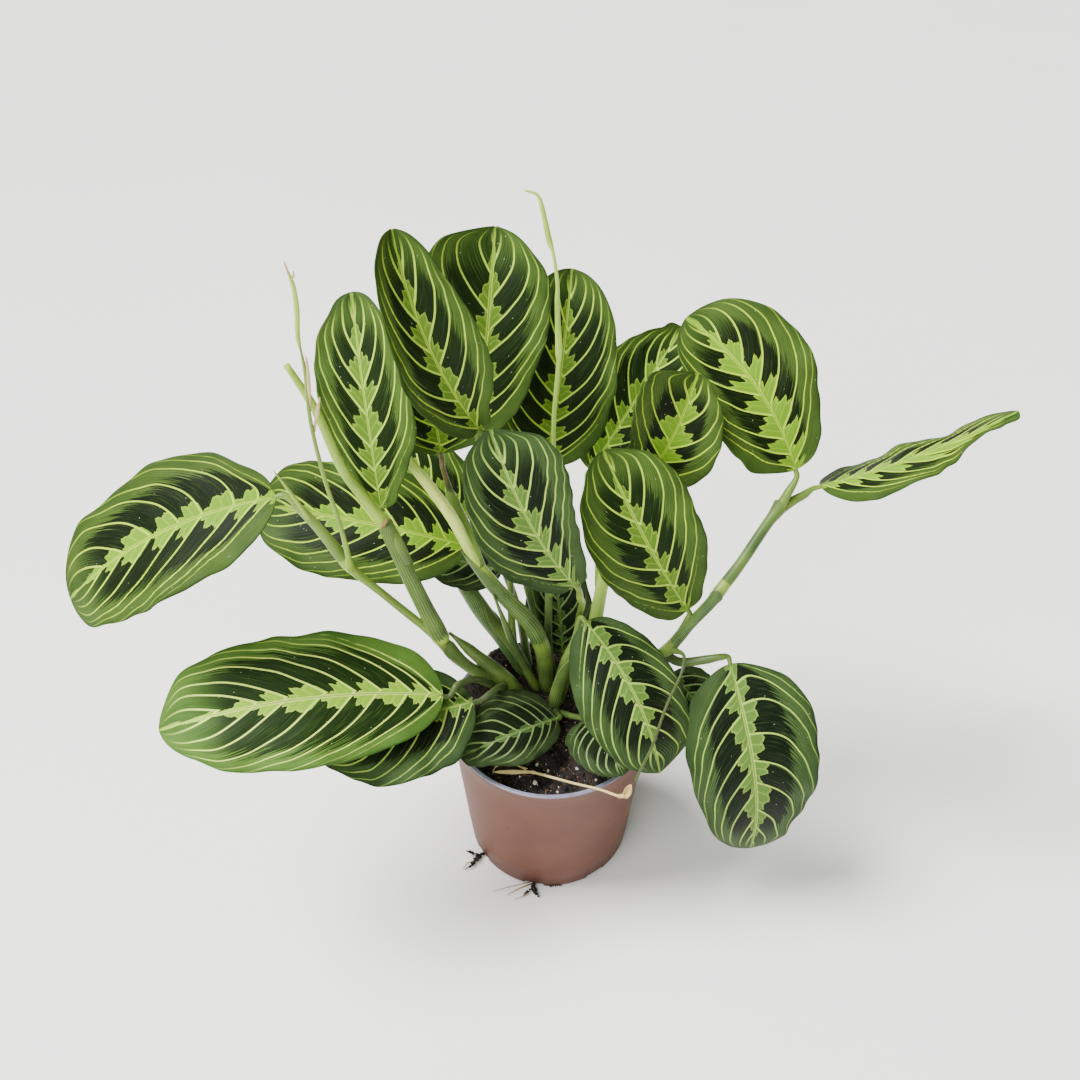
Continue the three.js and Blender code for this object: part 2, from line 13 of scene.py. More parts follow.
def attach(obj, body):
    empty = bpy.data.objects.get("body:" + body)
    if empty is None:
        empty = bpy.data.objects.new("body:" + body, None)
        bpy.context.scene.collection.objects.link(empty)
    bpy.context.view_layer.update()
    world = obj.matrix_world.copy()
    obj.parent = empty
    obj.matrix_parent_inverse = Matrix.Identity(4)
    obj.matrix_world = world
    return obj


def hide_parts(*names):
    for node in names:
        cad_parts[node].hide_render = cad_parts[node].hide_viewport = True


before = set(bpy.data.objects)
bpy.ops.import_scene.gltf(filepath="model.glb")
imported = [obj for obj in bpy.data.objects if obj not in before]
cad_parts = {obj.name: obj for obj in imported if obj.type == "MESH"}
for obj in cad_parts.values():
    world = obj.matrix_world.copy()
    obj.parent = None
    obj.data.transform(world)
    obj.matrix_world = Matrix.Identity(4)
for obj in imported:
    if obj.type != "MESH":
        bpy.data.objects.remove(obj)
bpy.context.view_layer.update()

bl_info = {
    "name": "Potted prayer plant",
    "version": (1, 0, 0),
    "blender": (4, 5, 0),
    "location": "3D View > Sidebar > Prayer plant",
    "description": "Builds a potted prayer plant piece by piece",
    "category": "Add Mesh",
}

MM = 0.001
MM_PER_CM = 10
GOLDEN_TURN = math.pi * (3 - math.sqrt(5))
MERGE = 1e-6
IN_COLOUR = {"out": 2, "data_type": "RGBA"}  # A Mix node's settings and output for colours

# Pot, in mm and degrees
POT_HEIGHT = 108
RIM_RADIUS = 60
BASE_RADIUS = 51
WALL = 1.4
WALL_RINGS = (20, 40, 60, 80, 95)
FLOOR_THICKNESS = 2
FOOT_CHAMFER = 1.5
LIP_HEIGHT, LIP_DEPTH, LIP_PROUD, LIP_ROUND, LIP_STEPS = 4, 2.6, 1.2, 0.8, 4
INNER_LIP_STEP, INNER_LIP_HEIGHT = 1, 8
SLOT_COUNT, SLOT_FIRST_ANGLE = 8, 34
SLOT_WIDTH, SLOT_HEIGHT, SLOT_DEPTH, SLOT_SHIFT = 12, 3.4, 6, 1
DRAIN_COUNT, DRAIN_RADIUS, DRAIN_RING, DRAIN_SIDES = 4, 3.5, 26, 24
LEVEL = 0.99  # A face whose normal is steeper than this is flat

# Soil, in mm
SOIL_LEVEL = 97
SOIL_RADIUS = 55.8
SOIL_EDGE_WIDTH, SOIL_EDGE_DEPTH = 9, 3
SOIL_BOTTOM, SOIL_BOTTOM_RADIUS = 2.35, 48.9
SOIL_SECTORS, SOIL_RINGS, SOIL_TOP_SHARE = 240, 72, 0.9
MOUND_X, MOUND_Y, MOUND_HEIGHT, MOUND_SPREAD, MOUND_EDGE_DROP = -28, 30, 28, 30, 0.3
SOIL_LUMP = 1.1
LUMP_WAVES = ((0.31, 0.17, 0), (-0.29, 0.23, 1))  # Each as its rates along x and y and its phase
CRUMBLE = ((0.28, 1, 0), (0.8, 0.5, 40))  # Each noise as its rate, its share and its height

# What lies loose on the soil, in mm
LOOSE_MARGIN, LOOSE_TURN, LOOSE_RISE, PLACED_RISE = 1.5, 0.4, 0.2, 0.3
CRUMB_DEPTHS, CRUMB_HEIGHTS, CRUMB_DENT = (0.6, 1), (0.5, 0.9), 0.22
FIBRE_MARGIN, FIBRE_REACH, FIBRE_STRAY, FIBRE_RISE, FIBRE_RADIUS = 4, (1.2, 4), 0.4, 0.9, 0.16
FIBRE_STEPS, FIBRE_SEED = (-1, -0.3, 0.4, 1), 2

# Peat that hangs out of the slots
TUFT_SEED, TUFT_CRUMBS, TUFT_STRAY, TUFT_SIZES, TUFT_CLEARANCE = 10, 12, 0.6, (0.6, 1), 1.25

# Leaf blades, in mm and as shares of the blade's length or half width
BLADE_THICKNESS, LEAST_ROWS = 0.5, 24
BASE_HALF_WIDTH, BASE_BULGE, BASE_ROUND = 1, 2.2, 0.5
TIP_HALF_WIDTH, TIP_BULGE, TIP_ROUND = 0.5, 2, 0.52
POINT_HALF_WIDTH, POINT_SLOPE, POINT_BLEND = 0.6, 4.5, 4
EDGE_UNEVENNESS, EDGE_RATE, EDGE_SIDES = 1.6, 7, 5
HALF_WAVES, RIGHT_PHASE = 5, 1.3
RIPPLE_DEPTH, RIPPLE_COUNT, RIPPLE_SHIFT = 0.45, 13, 2
RIB_RADIUS, RIB_TAPER, RIB_END, RIB_STEPS, RIB_SINK = 0.9, 0.75, 0.9, 8, 0.3
PULVINUS_LENGTH, PULVINUS_RADIUS, PULVINUS_END, PULVINUS_REACH = 4, 1.5, 1.2, 1

# The blades' pattern
BLADE_SEED_STEP = 20
VEIN_SPREAD = 0.8
VEIN_LEAN, VEIN_TURN, VEIN_POWER, VEIN_EASE = 0.5, 0.36, 3.5, 1.2
VEIN_OFFSET, VEIN_WANDER, VEIN_WANDER_RATE = 0.35, 0.1, 2.3
GAP_STEP, GAP_HALF_WIDTH, GAP_RATE = 0.01, 4, 0.02
VEINS_BEGIN, BLOTCH_BEGINS = (-0.06, -0.01), (-0.03, 0.05)
BAND_START, BAND_GROWN, BAND_FADES, BAND_GONE, BAND_LOSS = 0.45, 0.14, 0.55, 0.93, 0.86

# Stems and sheaths, in mm and as shares of a sheath's length
STEM_STEPS, NODE_REACH = 6, 7
SHEATH_THICKNESS, SHEATH_SINK = 0.25, 0.3
SHEATH_FOOT_RISE, SHEATH_FOOT_END, SHEATH_TIP_START = 0.35, 0.12, 0.6
SHEATH_TIP_WIDTH, SHEATH_TIP_ROUND = 0.02, 0.6
SHEATH_EDGE_RISE, SHEATH_EDGE_POWER, SHEATH_EDGE_START = 0.25, 6, 0.2

# The stage, in metres, with the lens taken from the photograph's focal length in pixels
SENSOR_WIDTH = 36
FOCAL_PIXELS, FRAME_PIXELS = 1000, 1080
FLOOR_HALF = 4
LAMP_PLACE, PANEL_PLACE, PANEL_SIZE = (-0.58, 0.1, 1.1), (-0.7, -1.0, 1.1), 1.2
LIGHTS_AIM = (0, 0, 0.15)


@dataclass
class Leaf:
    """A blade: its base and tip, the way its upper side faces, its width, how far its midrib bows
    and sways to the left in mm, its fold and curl in degrees, as one value or as left and right,
    how far its edge waves in mm, and where it is widest. Its pattern: the tone, how many side
    veins, how much they slant to the tip, as one value or as left and right, and the half width of
    the lime band and the reach of the dark blotches as shares of the half width. left and right
    list how much wider each half is in mm, at even steps from the base to the tip."""
    name: str
    base: tuple
    tip: tuple
    face: tuple
    width: float
    bow: float
    sway: float
    fold: object
    curl: object
    wave: float
    widest: float = 0.45
    tone: str = "green"
    veins: float = 8
    slant: object = 0.1
    band: float = 0.2
    reach: float = 0.6
    left: tuple = ()
    right: tuple = ()


LEAVES = [
    Leaf("leaf_front_top_left", (-35, 15, 301), (-70, 32, 394), (0.1, -0.9, 0.4), 48, 5, 6,
         (34, 12), 20, 1.5, veins=7.5, band=0.19, reach=0.62,
         left=(0, -1.5, -1, 0, -0.5, -2, -3.5, -3, -1.5, -1, 0),
         right=(0, -4, 0, 2, 2.5, 1, 2, 0.5, -1, 0, 0)),
    Leaf("leaf_top_left", (-38, 48, 278), (-28, 92, 369), (0.1, -0.9, 0.5), 66, 6, 0, 8, 20, 1.5,
         veins=7.5, band=0.17, reach=0.66,
         left=(0, 0, 0, 0, 1, 3, 6, 8, 10, 10, 0),
         right=(0, -4, -6, -6, -4.5, -3, 0.5, 2, 2, 0, 0)),
    Leaf("leaf_left_upright", (-86, 8, 258), (-99, 70, 345), (-0.1, -0.9, 0.4), 52, 6, -1, 8, 16,
         1.5, veins=8, band=0.23, reach=0.6,
         left=(0, -4, -6, -5.5, -5.5, -3.5, -3, -1, -0.5, -2, 0),
         right=(0, -4, -2.5, 0.5, 1, 0, 0, 0, 0, -1, 0)),
    Leaf("leaf_centre_upright", (12, -12, 223), (-29, 5, 308), (-0.1, -0.8, 0.6), 49, 8, 4, 6, 20,
         1.2, tone="grey", veins=8, slant=(0.08, 0.2), band=0.25, reach=0.6,
         left=(0, -3, -3, 1, 2, 2, 3, 3, 2.5, 3.5, 0),
         right=(0, -4, -5, -5, -3.5, 0, 3.5, 7, 10, 10.5, 0)),
    Leaf("leaf_top_centre", (-2, 62, 245), (11, 112, 337), (0.1, -0.8, 0.5), 62, 6, 0, 12, 16, 1.5,
         veins=9, band=0.2, reach=0.8,
         left=(0, 8, 8, 7, 5, 3, 1, 0, 0, 0, 0)),
    Leaf("leaf_back_right", (23, 75, 232), (78, 145, 284), (0, -0.7, 0.7), 56, 8, 0, 8, 16, 1.5,
         veins=8, reach=0.7,
         left=(0, 0, 0, 0, 0, 0, 0, -1, -4, -5, 0)),
    Leaf("leaf_small_right", (50, 44, 248), (75, 62, 304), (0.1, -0.8, 0.6), 52, 6, -2, (14, 2),
         16, 1.2, tone="bright", veins=6, band=0.33, reach=0.55,
         left=(0, 0, -2, -4, -2, 2, 3.5, 6, 9, 13, 0),
         right=(0, 0, 1, 0.5, -0.5, -0.5, -0.5, -1.5, -2.5, -4, 0)),
    Leaf("leaf_large_right", (132, 50, 251), (73, 105, 312), (0.1, -0.7, 0.7), 66, 8, -6, 4, 16,
         1.5, 0.54, tone="bright", veins=8, band=0.3, reach=0.58,
         left=(0, 8, 5, 4, 3, 1, 0, 0, 0, 0, 0),
         right=(0, -2, -4, -3, 0, 1, 3, 3, 2, 2, 0)),
    Leaf("leaf_far_right", (147, 50, 240), (246, 60, 282), (0, 0.32, 1), 58, -4, 0, -6, -4, 2,
         0.36, tone="bright", veins=9, band=0.27, reach=0.6,
         left=(0, 0, 0, 1, 1, 0, -3, -2, 0, 1, 0),
         right=(0, 3, -1, -3, -2, -4, -10, -14, -14, -9, 0)),
    Leaf("leaf_centre_right", (74, 2, 192), (26, 30, 278), (0.15, -0.8, 0.6), 57, 8, 4, 4, 20, 1.5,
         veins=7.5, slant=(0.06, 0.18), band=0.2, reach=0.52,
         left=(0, -2.5, -3.5, -1, 1.5, 3, 3.5, 3.5, 3.5, 0.5, 0),
         right=(0, -4, -2, -0.5, 0.5, 1.5, 3.5, 5.5, 6, 5.5, 0)),
    Leaf("leaf_right_hanging", (99, -10, 162), (120, -50, 42), (0, -0.9, 0.4), 72, 22, 4, 4, -10,
         2, tone="grey", veins=8.5, slant=(-0.12, 0.1), band=0.19, reach=0.62,
         left=(0, 6, 6, 4, 1, -1, -2, -4, -7, -3, 0),
         right=(0, 3, 3, 1, -1, -1, -2, -3, -3, -2, 0)),
    Leaf("leaf_front_drooping", (19, 5, 180), (60, -50, 117), (0, -0.7, 0.7), 63, 14, 6, (-12, 0),
         -10, 1.5, tone="grey", veins=8, slant=(-0.06, 0.14), band=0.19, reach=0.6,
         left=(0, -4, -5.5, -5.5, -5.5, -4.5, -2.5, -1, 1.5, 5, 0),
         right=(0, -1, -1.5, -1, -0.5, 0.5, 0.5, 0.5, 0.5, 1.5, 0)),
    Leaf("leaf_far_left", (-135, 0, 272), (-250, -10, 212), (0.1, -0.5, 0.85), 67, 10, -6, 4, 8, 2,
         0.55, tone="bright", veins=8.5, slant=(0.18, -0.06), band=0.2, reach=0.66,
         left=(0, 3, 5, 2, 3, 3, 4, 3, 3, 5, 0),
         right=(0, -1, 3, 2, 1, -2, -2, -3, -2, -1, 0)),
    Leaf("leaf_mid_left", (-46, 31, 213), (-163, 52, 225), (0, -0.6, 0.8), 66, 8, 0, 6, 10, 1.5,
         tone="bright", veins=8.5, band=0.2, reach=0.62,
         left=(0, 0, 0, 0, 0, 2, 3, 4, 3, 3, 0),
         right=(0, 0, 0, 0, 0, 0, 0, 0, 2, 4, 0)),
    # Its pale tone paints light onto this low blade in the shade of the leaves above
    Leaf("leaf_bottom_left", (-59, -25, 153), (-201, -60, 167), (0, -0.5, 0.85), 67, 12, -5, 6, -6,
         2, tone="pale", veins=9.5, slant=(0.04, 0.16), band=0.17, reach=0.78,
         left=(0, 0, 0, 1, 2, 3, 4, 4, 4, 1, 0),
         right=(0, 1, 0, 0, 1, 0, 3, 4, 4, 7, 0)),
    # Its grey tone paints light onto this blade in the shade of the bottom left one
    Leaf("leaf_under_left", (-43, -22, 144), (-127, -50, 137), (0, -0.36, 0.94), 66, 5, 0, (2, -5),
         -8, 1.5, tone="grey", veins=8, band=0.17,
         left=(0, 0, 2, 0, 0, 1, 1, 1, -1, -3, 0)),
    # These two low blades take the deep tone: partly older leaves, partly painted shade
    Leaf("leaf_over_rim", (4, -10, 115), (-50, -46, 126), (0, -0.5, 0.85), 46, 7, 0, 4, -8, 1,
         tone="deep", veins=8, band=0.09,
         left=(0, -4, -5, -5.5, -5.5, -4, -5, -6, -6, -4, 0),
         right=(0, 1.5, 2, 1.5, 1.5, 3, 3, 0, 0, 0, 0)),
    Leaf("leaf_on_soil", (20, -14, 118), (40, -52, 118), (0, -0.3, 0.95), 40, 5, 0, 4, 4, 1,
         tone="deep", veins=7, band=0.07),
    # The deep tone of this blade behind the stems is partly painted shade
    Leaf("leaf_behind_centre", (8, 31, 126), (2, 54, 190), (0, -0.9, 0.3), 40, 4, 0, 6, 10, 1,
         tone="deep", veins=8, band=0.15),
    Leaf("leaf_small_behind", (-59, 52, 260), (-67, 85, 316), (0, -0.9, 0.4), 50, 5, 0, 8, 10, 1,
         veins=7, band=0.2,
         left=(0, 4, 4, 2, 0, 0, 0, 0, 0, 0, 0),
         right=(0, 9, 11, 8, 4, 1, 0, 0, 0, 0, 0)),
    Leaf("leaf_behind_stems", (-46, 60, 210), (-98, 96, 240), (0, -0.8, 0.5), 48, 5, 0, 8, 10, 1,
         veins=7, band=0.2),
    # The deep tone of these two blades under and behind the others is partly painted shade
    Leaf("leaf_below_mid_left", (-28, 42, 184), (-72, 52, 187), (0, -0.6, 0.8), 34, 4, 0, 6, 10, 1,
         tone="deep", veins=6, band=0.15),
    Leaf("leaf_behind_right", (70, 2, 141), (90, -10, 116), (0, -0.6, 0.8), 32, 5, 0, 4, 4, 1,
         tone="deep", veins=6, band=0.15),
]


@dataclass
class Path:
    """A stem or petiole: its points as x, y, z and radius in mm, the blade that it runs on to, how
    pale it is at even steps from its start to its end, from -1 for brown to 1, and whether it is
    dry."""
    points: list
    blade: str = ""
    pale: tuple = (0.4, 0.6)
    dry: bool = False


@dataclass
class Wrap:
    """A sheath: the path that it is on, the points from which and up to which it reaches, the way
    its tip stands off, how far round it goes in degrees, how far the tip stands off in mm, how pale
    it is and how bluntly it ends"""
    path: int
    first: float
    last: float
    toward: tuple
    spread: float = 320
    lift: float = 0.5
    pale: float = 0.3
    blunt: float = 1.6


SHEATHS = {
    "shoot_left": [
        Wrap(0, 5.05, 8, (1, -0.4, 0), spread=345, lift=0.2, pale=0.12, blunt=12),
        Wrap(0, 1.2, 4.4, (1, -1, 0), spread=300, pale=0.1),
        Wrap(1, 4.1, 5.6, (-1, -0.4, 1), spread=290, lift=0.4, pale=0.3),
    ],
    "shoot_middle": [
        Wrap(0, 3.2, 6.4, (-1, -0.3, 0), spread=330, lift=0.8, pale=0.06, blunt=2.2),
        Wrap(2, 0.8, 5.9, (-1, 0.6, 0.6), spread=320, lift=0.6, pale=0, blunt=2.4),
        Wrap(1, 0.2, 2.6, (-1, -0.4, 0.4), spread=320, lift=0.5, pale=0.35, blunt=5),
    ],
    "shoot_back": [
        Wrap(0, 1.8, 3.4, (1, -0.8, 0), spread=300, pale=0.8),
    ],
    "shoot_right": [
        Wrap(0, 1.2, 3.6, (-0.6, -1, 0.6), spread=300, pale=0),
        Wrap(0, 4.3, 6.8, (-0.4, -1, 0.3), spread=320, pale=0),
        Wrap(0, 7.3, 10.4, (-0.8, -0.6, 0.4), spread=330, lift=0.9, pale=0.08, blunt=3),
    ],
    "shoot_front": [
        Wrap(0, 0.8, 2.5, (1, -0.8, 0), spread=300, pale=0.1),
    ],
}

SHOOTS = {
    "shoot_left": [
        Path([(-10, 6, 92, 3.4), (-17, 4, 114, 3.4), (-29, 2, 130, 3.2), (-48, 0, 150, 3),
              (-59, -2, 170, 3.8), (-61, -2, 176, 5), (-69, -2, 203, 4.1), (-80, 0, 240, 3.4),
              (-84, 1, 255, 3.6), (-87.5, 1, 261, 3), (-93, 1, 272, 2.7), (-100, 0, 288, 2.4),
              (-109, 2, 322, 2), (-119, 5, 343, 1.5)],
             pale=(0, 0, 0, 0.1, 0.3, 0.55, 0.35, 0.3, 0.5, 0.7, 0.75, 0.8, 0.8, 0.8)),
        Path([(-61, -2, 174, 3.4), (-72, -3, 188, 2.3), (-90, -5, 213, 2.1), (-102, -6, 229, 2.4),
              (-104, -6, 233, 3.2), (-119, -3, 260, 2.3)], "leaf_far_left",
             (0.6, 0.25, 0.3, 0.4, 0.6, 0.4, 0.4, 0.4)),
        Path([(-103, -7, 230, 2.2), (-102, -10, 244, 1.4), (-103, -12, 266, 1.1),
              (-106, -13, 293, 1), (-108, -12, 325, 0.9), (-107, -10, 350, 0.8),
              (-107.5, -9, 358, 0.5), (-108, -8, 364, 1), (-107, -6, 376, 1.2), (-107, -5, 386, 1),
              (-108, -5, 392, 0.5)], pale=(0.6, 0.7, 0.5, 0.4, 0.4, 0.3, 0.4, 0.9, 1, 1, 0.8)),
        Path([(-108, -5, 391, 0.5), (-108.5, -5, 394, 0.45), (-109, -5, 397, 0.2)], dry=True),
        Path([(-107.5, -5, 388, 0.4), (-106, -5.5, 391, 0.5), (-105.8, -5.5, 393, 0.2)], dry=True),
        Path([(-107.5, -11, 330, 0.8), (-105.8, -11.5, 345, 0.8), (-105, -12, 354, 0.5),
              (-105, -12, 358, 0.2)], dry=True),
        Path([(-107.5, -11, 318, 0.6), (-104, -12, 330, 0.9), (-102, -12.5, 337, 0.4)], dry=True),
        Path([(-9, 5, 92, 3), (-17, 5, 116, 4.6), (-28, 5, 134, 5), (-44, 4, 156, 3.4),
              (-56, 2, 174, 0.9)], pale=(0, 0.1)),
        Path([(-74, -1, 228, 3), (-79, 0, 244, 3.2), (-83, 3, 254, 2)], "leaf_left_upright",
             (0.1, 0.1, 0, 0.2)),
        Path([(-85, -2.6, 254, 0.4), (-83.5, -2.8, 256.5, 1.1), (-82, -2.6, 258.5, 1),
              (-81.5, -2, 260, 0.3)], pale=(-1, -0.8)),
        Path([(-119, -4, 260, 1.4), (-125, -4, 275, 1), (-132, -4, 291, 0.3)], pale=(0.6, 0.9)),
        Path([(-22, 3, 122, 2.6), (-32, -2, 134, 2.2), (-43, -10, 149, 2), (-52, -19, 154, 1.8)],
             "leaf_bottom_left", (0, -0.07, -0.05)),
        Path([(-27, 2, 127, 2.4), (-28, -6, 139, 2), (-33, -15, 144, 1.8)], "leaf_under_left",
             (0, -0.07)),
    ],
    "shoot_middle": [
        Path([(-1, 18, 90, 4.4), (-2, 16, 108, 4.4), (-4, 13, 146, 4.8), (-6, 12, 156, 5),
              (-12, 12, 172, 4.5), (-30, 13, 198, 4), (-41, 16, 216, 3), (-52, 20, 242, 3.2),
              (-63, 23, 261, 3), (-72, 25, 275, 2.6), (-76, 26, 284, 1.9)],
             # Values above 0.9 on the upper stem mix in a pale yellow: partly new growth, partly a
             # painted highlight where the light falls on it
             pale=(0, 0.05, 0.05, 0.1, 0.15, 0.25, 1, 1.4, 1.35, 1.1, 1)),
        Path([(-38, 15, 212, 2.8), (-46, 24, 230, 3.6), (-52, 33, 241, 3), (-55, 40, 248, 1.6),
              (-58, 47, 254, 1.4)], "leaf_small_behind", (0.2, 0.3, 0.2, -0.5, -0.6, -0.3)),
        Path([(-3, 20, 92, 3.4), (-11, 22, 110, 4), (-19, 23, 128, 4.6), (-28, 25, 147, 5.2),
              (-39, 31, 161, 5.2), (-50, 44, 172, 4.6), (-57, 56, 180, 3)], pale=(0, 0.1)),
        Path([(-39, 16, 214, 2.4), (-40, 22, 214, 1.8)], "leaf_mid_left", (0.3, -0.3, 0)),
        Path([(-2, 17, 94, 2.4), (-10, 13, 120, 2.8), (-22, 10, 160, 2.2), (-31, 8, 197, 0.7)],
             pale=(0, 0.1)),
        Path([(-12, 23, 114, 3), (-20, 48, 150, 2.4), (-34, 62, 186, 2)], "leaf_behind_stems",
             (0.1, 0.4)),
        Path([(-22, 22, 136, 3), (-23, 34, 160, 2.2)], "leaf_below_mid_left", (0.1, 0.3)),
    ],
    "shoot_centre": [
        Path([(4, 28, 90, 3), (2, 26, 110, 3), (-1, 24, 138, 2.6), (-1, 29, 180, 2.2),
              (-2, 46, 220, 2)], "leaf_top_centre", (0, 0.15)),
        Path([(-1, 24, 140, 2.6), (-8, 26, 160, 2), (-17, 29, 203, 2), (-27, 27, 256, 1.9),
              (-33, 21, 286, 1.8)], "leaf_front_top_left", (0, 0.15)),
        Path([(-14, 28, 190, 2), (-24, 36, 225, 1.9), (-34, 44, 255, 1.8)], "leaf_top_left",
             (0, 0.15)),
        Path([(-1, 28, 176, 2), (4, 34, 206, 1.6), (2, 42, 250, 1.2), (1, 40, 290, 1.1),
              (3, 38, 324, 1.1), (3, 38, 330, 1.7), (2, 39, 356, 1.2), (2, 40, 364, 0.9),
              (0, 42, 378, 0.8), (-2, 44, 384, 1.4), (-5, 47, 397, 1.1), (-7, 49, 402, 0.7),
              (-13, 50, 404, 0.5)], pale=(0.4, 0.6, 0.8, 0.9, 0.8, 0.9, 1, 0.9, 0.9, 1)),
        Path([(2, 27, 104, 2.6), (8, 23, 116, 2.2)], "leaf_behind_centre", (0.1, 0.2)),
    ],
    "shoot_back": [
        Path([(18, 20, 88, 3.2), (18, 20, 109, 3.4), (26, 24, 160, 3.6), (30, 28, 194, 3.5),
              (39, 35, 226, 2.6)], "leaf_small_right", (0.6, 1.2)),
        Path([(28, 27, 186, 3), (27, 45, 208, 2.2), (24, 64, 224, 2)], "leaf_back_right",
             (0.4, 0.6)),
    ],
    "shoot_right": [
        Path([(16, 4, 90, 3.2), (24, 0, 113, 3.2), (42, 4, 136, 2.8), (59, 0, 157, 2.7),
              (65, -2, 165, 3.6), (76, 0, 183, 2.7), (87, 1, 201, 2.8), (90, 4, 204, 3.5),
              (101, 14, 214, 2.7), (117, 32, 228, 2.6), (124, 39, 234, 3), (128, 43, 240, 2.4)],
             "leaf_large_right", (0, 0, 0, 0, 0.05, 0.05, 0.05, 0.5, 0.15, 0.15, 0.2, 0.3, 0.3)),
        Path([(122, 37, 231, 2.8), (132, 43, 235, 2.6), (138, 46, 236.5, 2.3)], "leaf_far_right",
             (0.2, 0.4)),
        Path([(65, -2, 164, 3), (71, 0, 176, 2.2), (74, 1, 185, 1.7)], "leaf_centre_right",
             (0.1, 0.2)),
        Path([(63, -2, 162, 2.8), (72, -4, 157, 2.7), (86, -6, 161, 2.5), (94, -6.4, 163.6, 2)],
             "leaf_right_hanging", (0, 0.15)),
        Path([(41, 4, 136, 2.4), (54, 5, 139, 2)], "leaf_behind_right", (0.1, 0.2)),
        Path([(67, -3, 166, 2), (72, -14, 173, 1), (70, -24, 171, 0.8), (62, -36, 159, 0.8),
              (54, -49, 138, 0.8), (49, -54, 127, 0.8), (46, -56, 117, 0.8)],
             pale=(0.1, -0.1, -0.1)),
    ],
    "shoot_front": [
        Path([(2, 4, 90, 3), (3, 5, 112, 3.6), (8, 5, 144, 3.1), (14, 5, 168, 2)],
             "leaf_front_drooping", (0, 0.2)),
        Path([(3, 5, 94, 2.6), (8, 11, 114, 2.2), (13, 15, 139, 1.9), (16, 16, 172, 1.8),
              (17, 8, 191, 1.8), (15, -5, 208, 1.9)], "leaf_centre_upright", (0.1, 0.3)),
        Path([(3, 4, 106, 2.6), (4, -4, 111, 1.9)], "leaf_over_rim", (0, 0.1)),
        Path([(3, 4, 104, 2.4), (12, -5, 111, 1.8)], "leaf_on_soil", (0, 0.1)),
    ],
}

DRY_STALK = [
    Path([(-33, -38.6, 102.2, 0.25), (-28, -39, 102.8, 1.1), (-21, -39.3, 103.2, 1.4),
          (-14, -39.4, 103.5, 1), (-10.5, -39.6, 103.6, 0.8)]),
    Path([(-12, -39.4, 103.5, 0.7), (-10, -39.8, 103.7, 1.15), (-8, -40.6, 104, 0.8),
          (0, -44, 105, 0.75), (14, -50.4, 107.6, 0.7), (27, -55.8, 110, 0.7),
          (38.5, -61.2, 111, 0.75), (40.2, -61.9, 112.5, 0.5), (39.2, -62.2, 114.4, 0.45),
          (37.2, -62.3, 114, 0.4), (36.8, -62.4, 112.2, 0.4), (38.2, -62.5, 111.4, 0.2)]),
    Path([(-33, -38.8, 102.4, 0.2), (-31, -36.5, 104.4, 0.25), (-22, -36, 105.6, 0.3),
          (-13, -38, 104.6, 0.3)]),
    Path([(-14, -38.4, 104.2, 0.4), (-18, -37.4, 106, 0.3), (-24, -36, 108, 0.2),
          (-34, -35.5, 112, 0.15)]),
]
DRY_HUSK = Path([(39.6, -61.6, 110.6, 0.6), (41, -61.4, 113, 1.9), (42, -61.2, 116, 2.1),
                 (42.6, -61, 119, 1.4), (43, -60.8, 121, 0.4)])
HUSK_WRAP = Wrap(0, 0, 4, (1, 0.5, 0), spread=230, lift=0, blunt=4)

# Perlite grains that stand out at the front: x, y and radius
LARGE_GRAINS = [(-8.8, -43.8, 1.9), (-7.7, -31.5, 1.6), (-1.4, -35, 1.3), (15.3, -33.6, 1.1),
                (33.5, -15, 1.2), (-36, -31, 1.4), (26, -42, 1), (4, -49, 0.9)]

# Peat and dead roots out through two of the pot's slots: the slot's number, strands and roots. A
# strand's points are out from the pot's axis, sideways, height and radius in mm, and a root's are
# x, y, z and radius.
ROOT_TUFTS = {
    "root_tuft_left": (
        4,
        [[(50, 0, 1.7, 1), (54, 0, 1.8, 1.3), (57, 1, 2.2, 1.9), (62, 3, 2, 1), (67, 3, 1.2, 0.4)],
         [(55, 0, 2, 1.2), (58, -4, 3.4, 1.3), (60, -6, 4.4, 0.5)]],
        [[(-45, -34, 2, 0.4), (-52, -36, 2.4, 0.4), (-55, -39.5, 0.8, 0.2)]]),
    "root_tuft_front": (
        5,
        [[(50, 0, 1.7, 1), (54, 0, 1.8, 1.3), (56, 2, 2.2, 1.7), (59, 5, 1.4, 0.5)],
         [(50.5, 6, 1.6, 0.9), (50, 12, 1.6, 0.9), (48.5, 17, 1.6, 0.6)],
         [(53, 0, 1.8, 1), (57, -3, 1.6, 0.9), (60, -5, 1, 0.5)]],
        [[(-12, -49, 2, 0.3), (-24, -52.4, 2.6, 0.28), (-35.4, -54.5, 0.6, 0.15)],
         [(-11, -50, 2, 0.45), (-19, -54, 2.8, 0.4), (-26.6, -57, 0.6, 0.2)],
         [(-10, -51, 1.4, 0.3), (-14, -57, 1.8, 0.25), (-22, -60, 0.5, 0.15)]]),
}

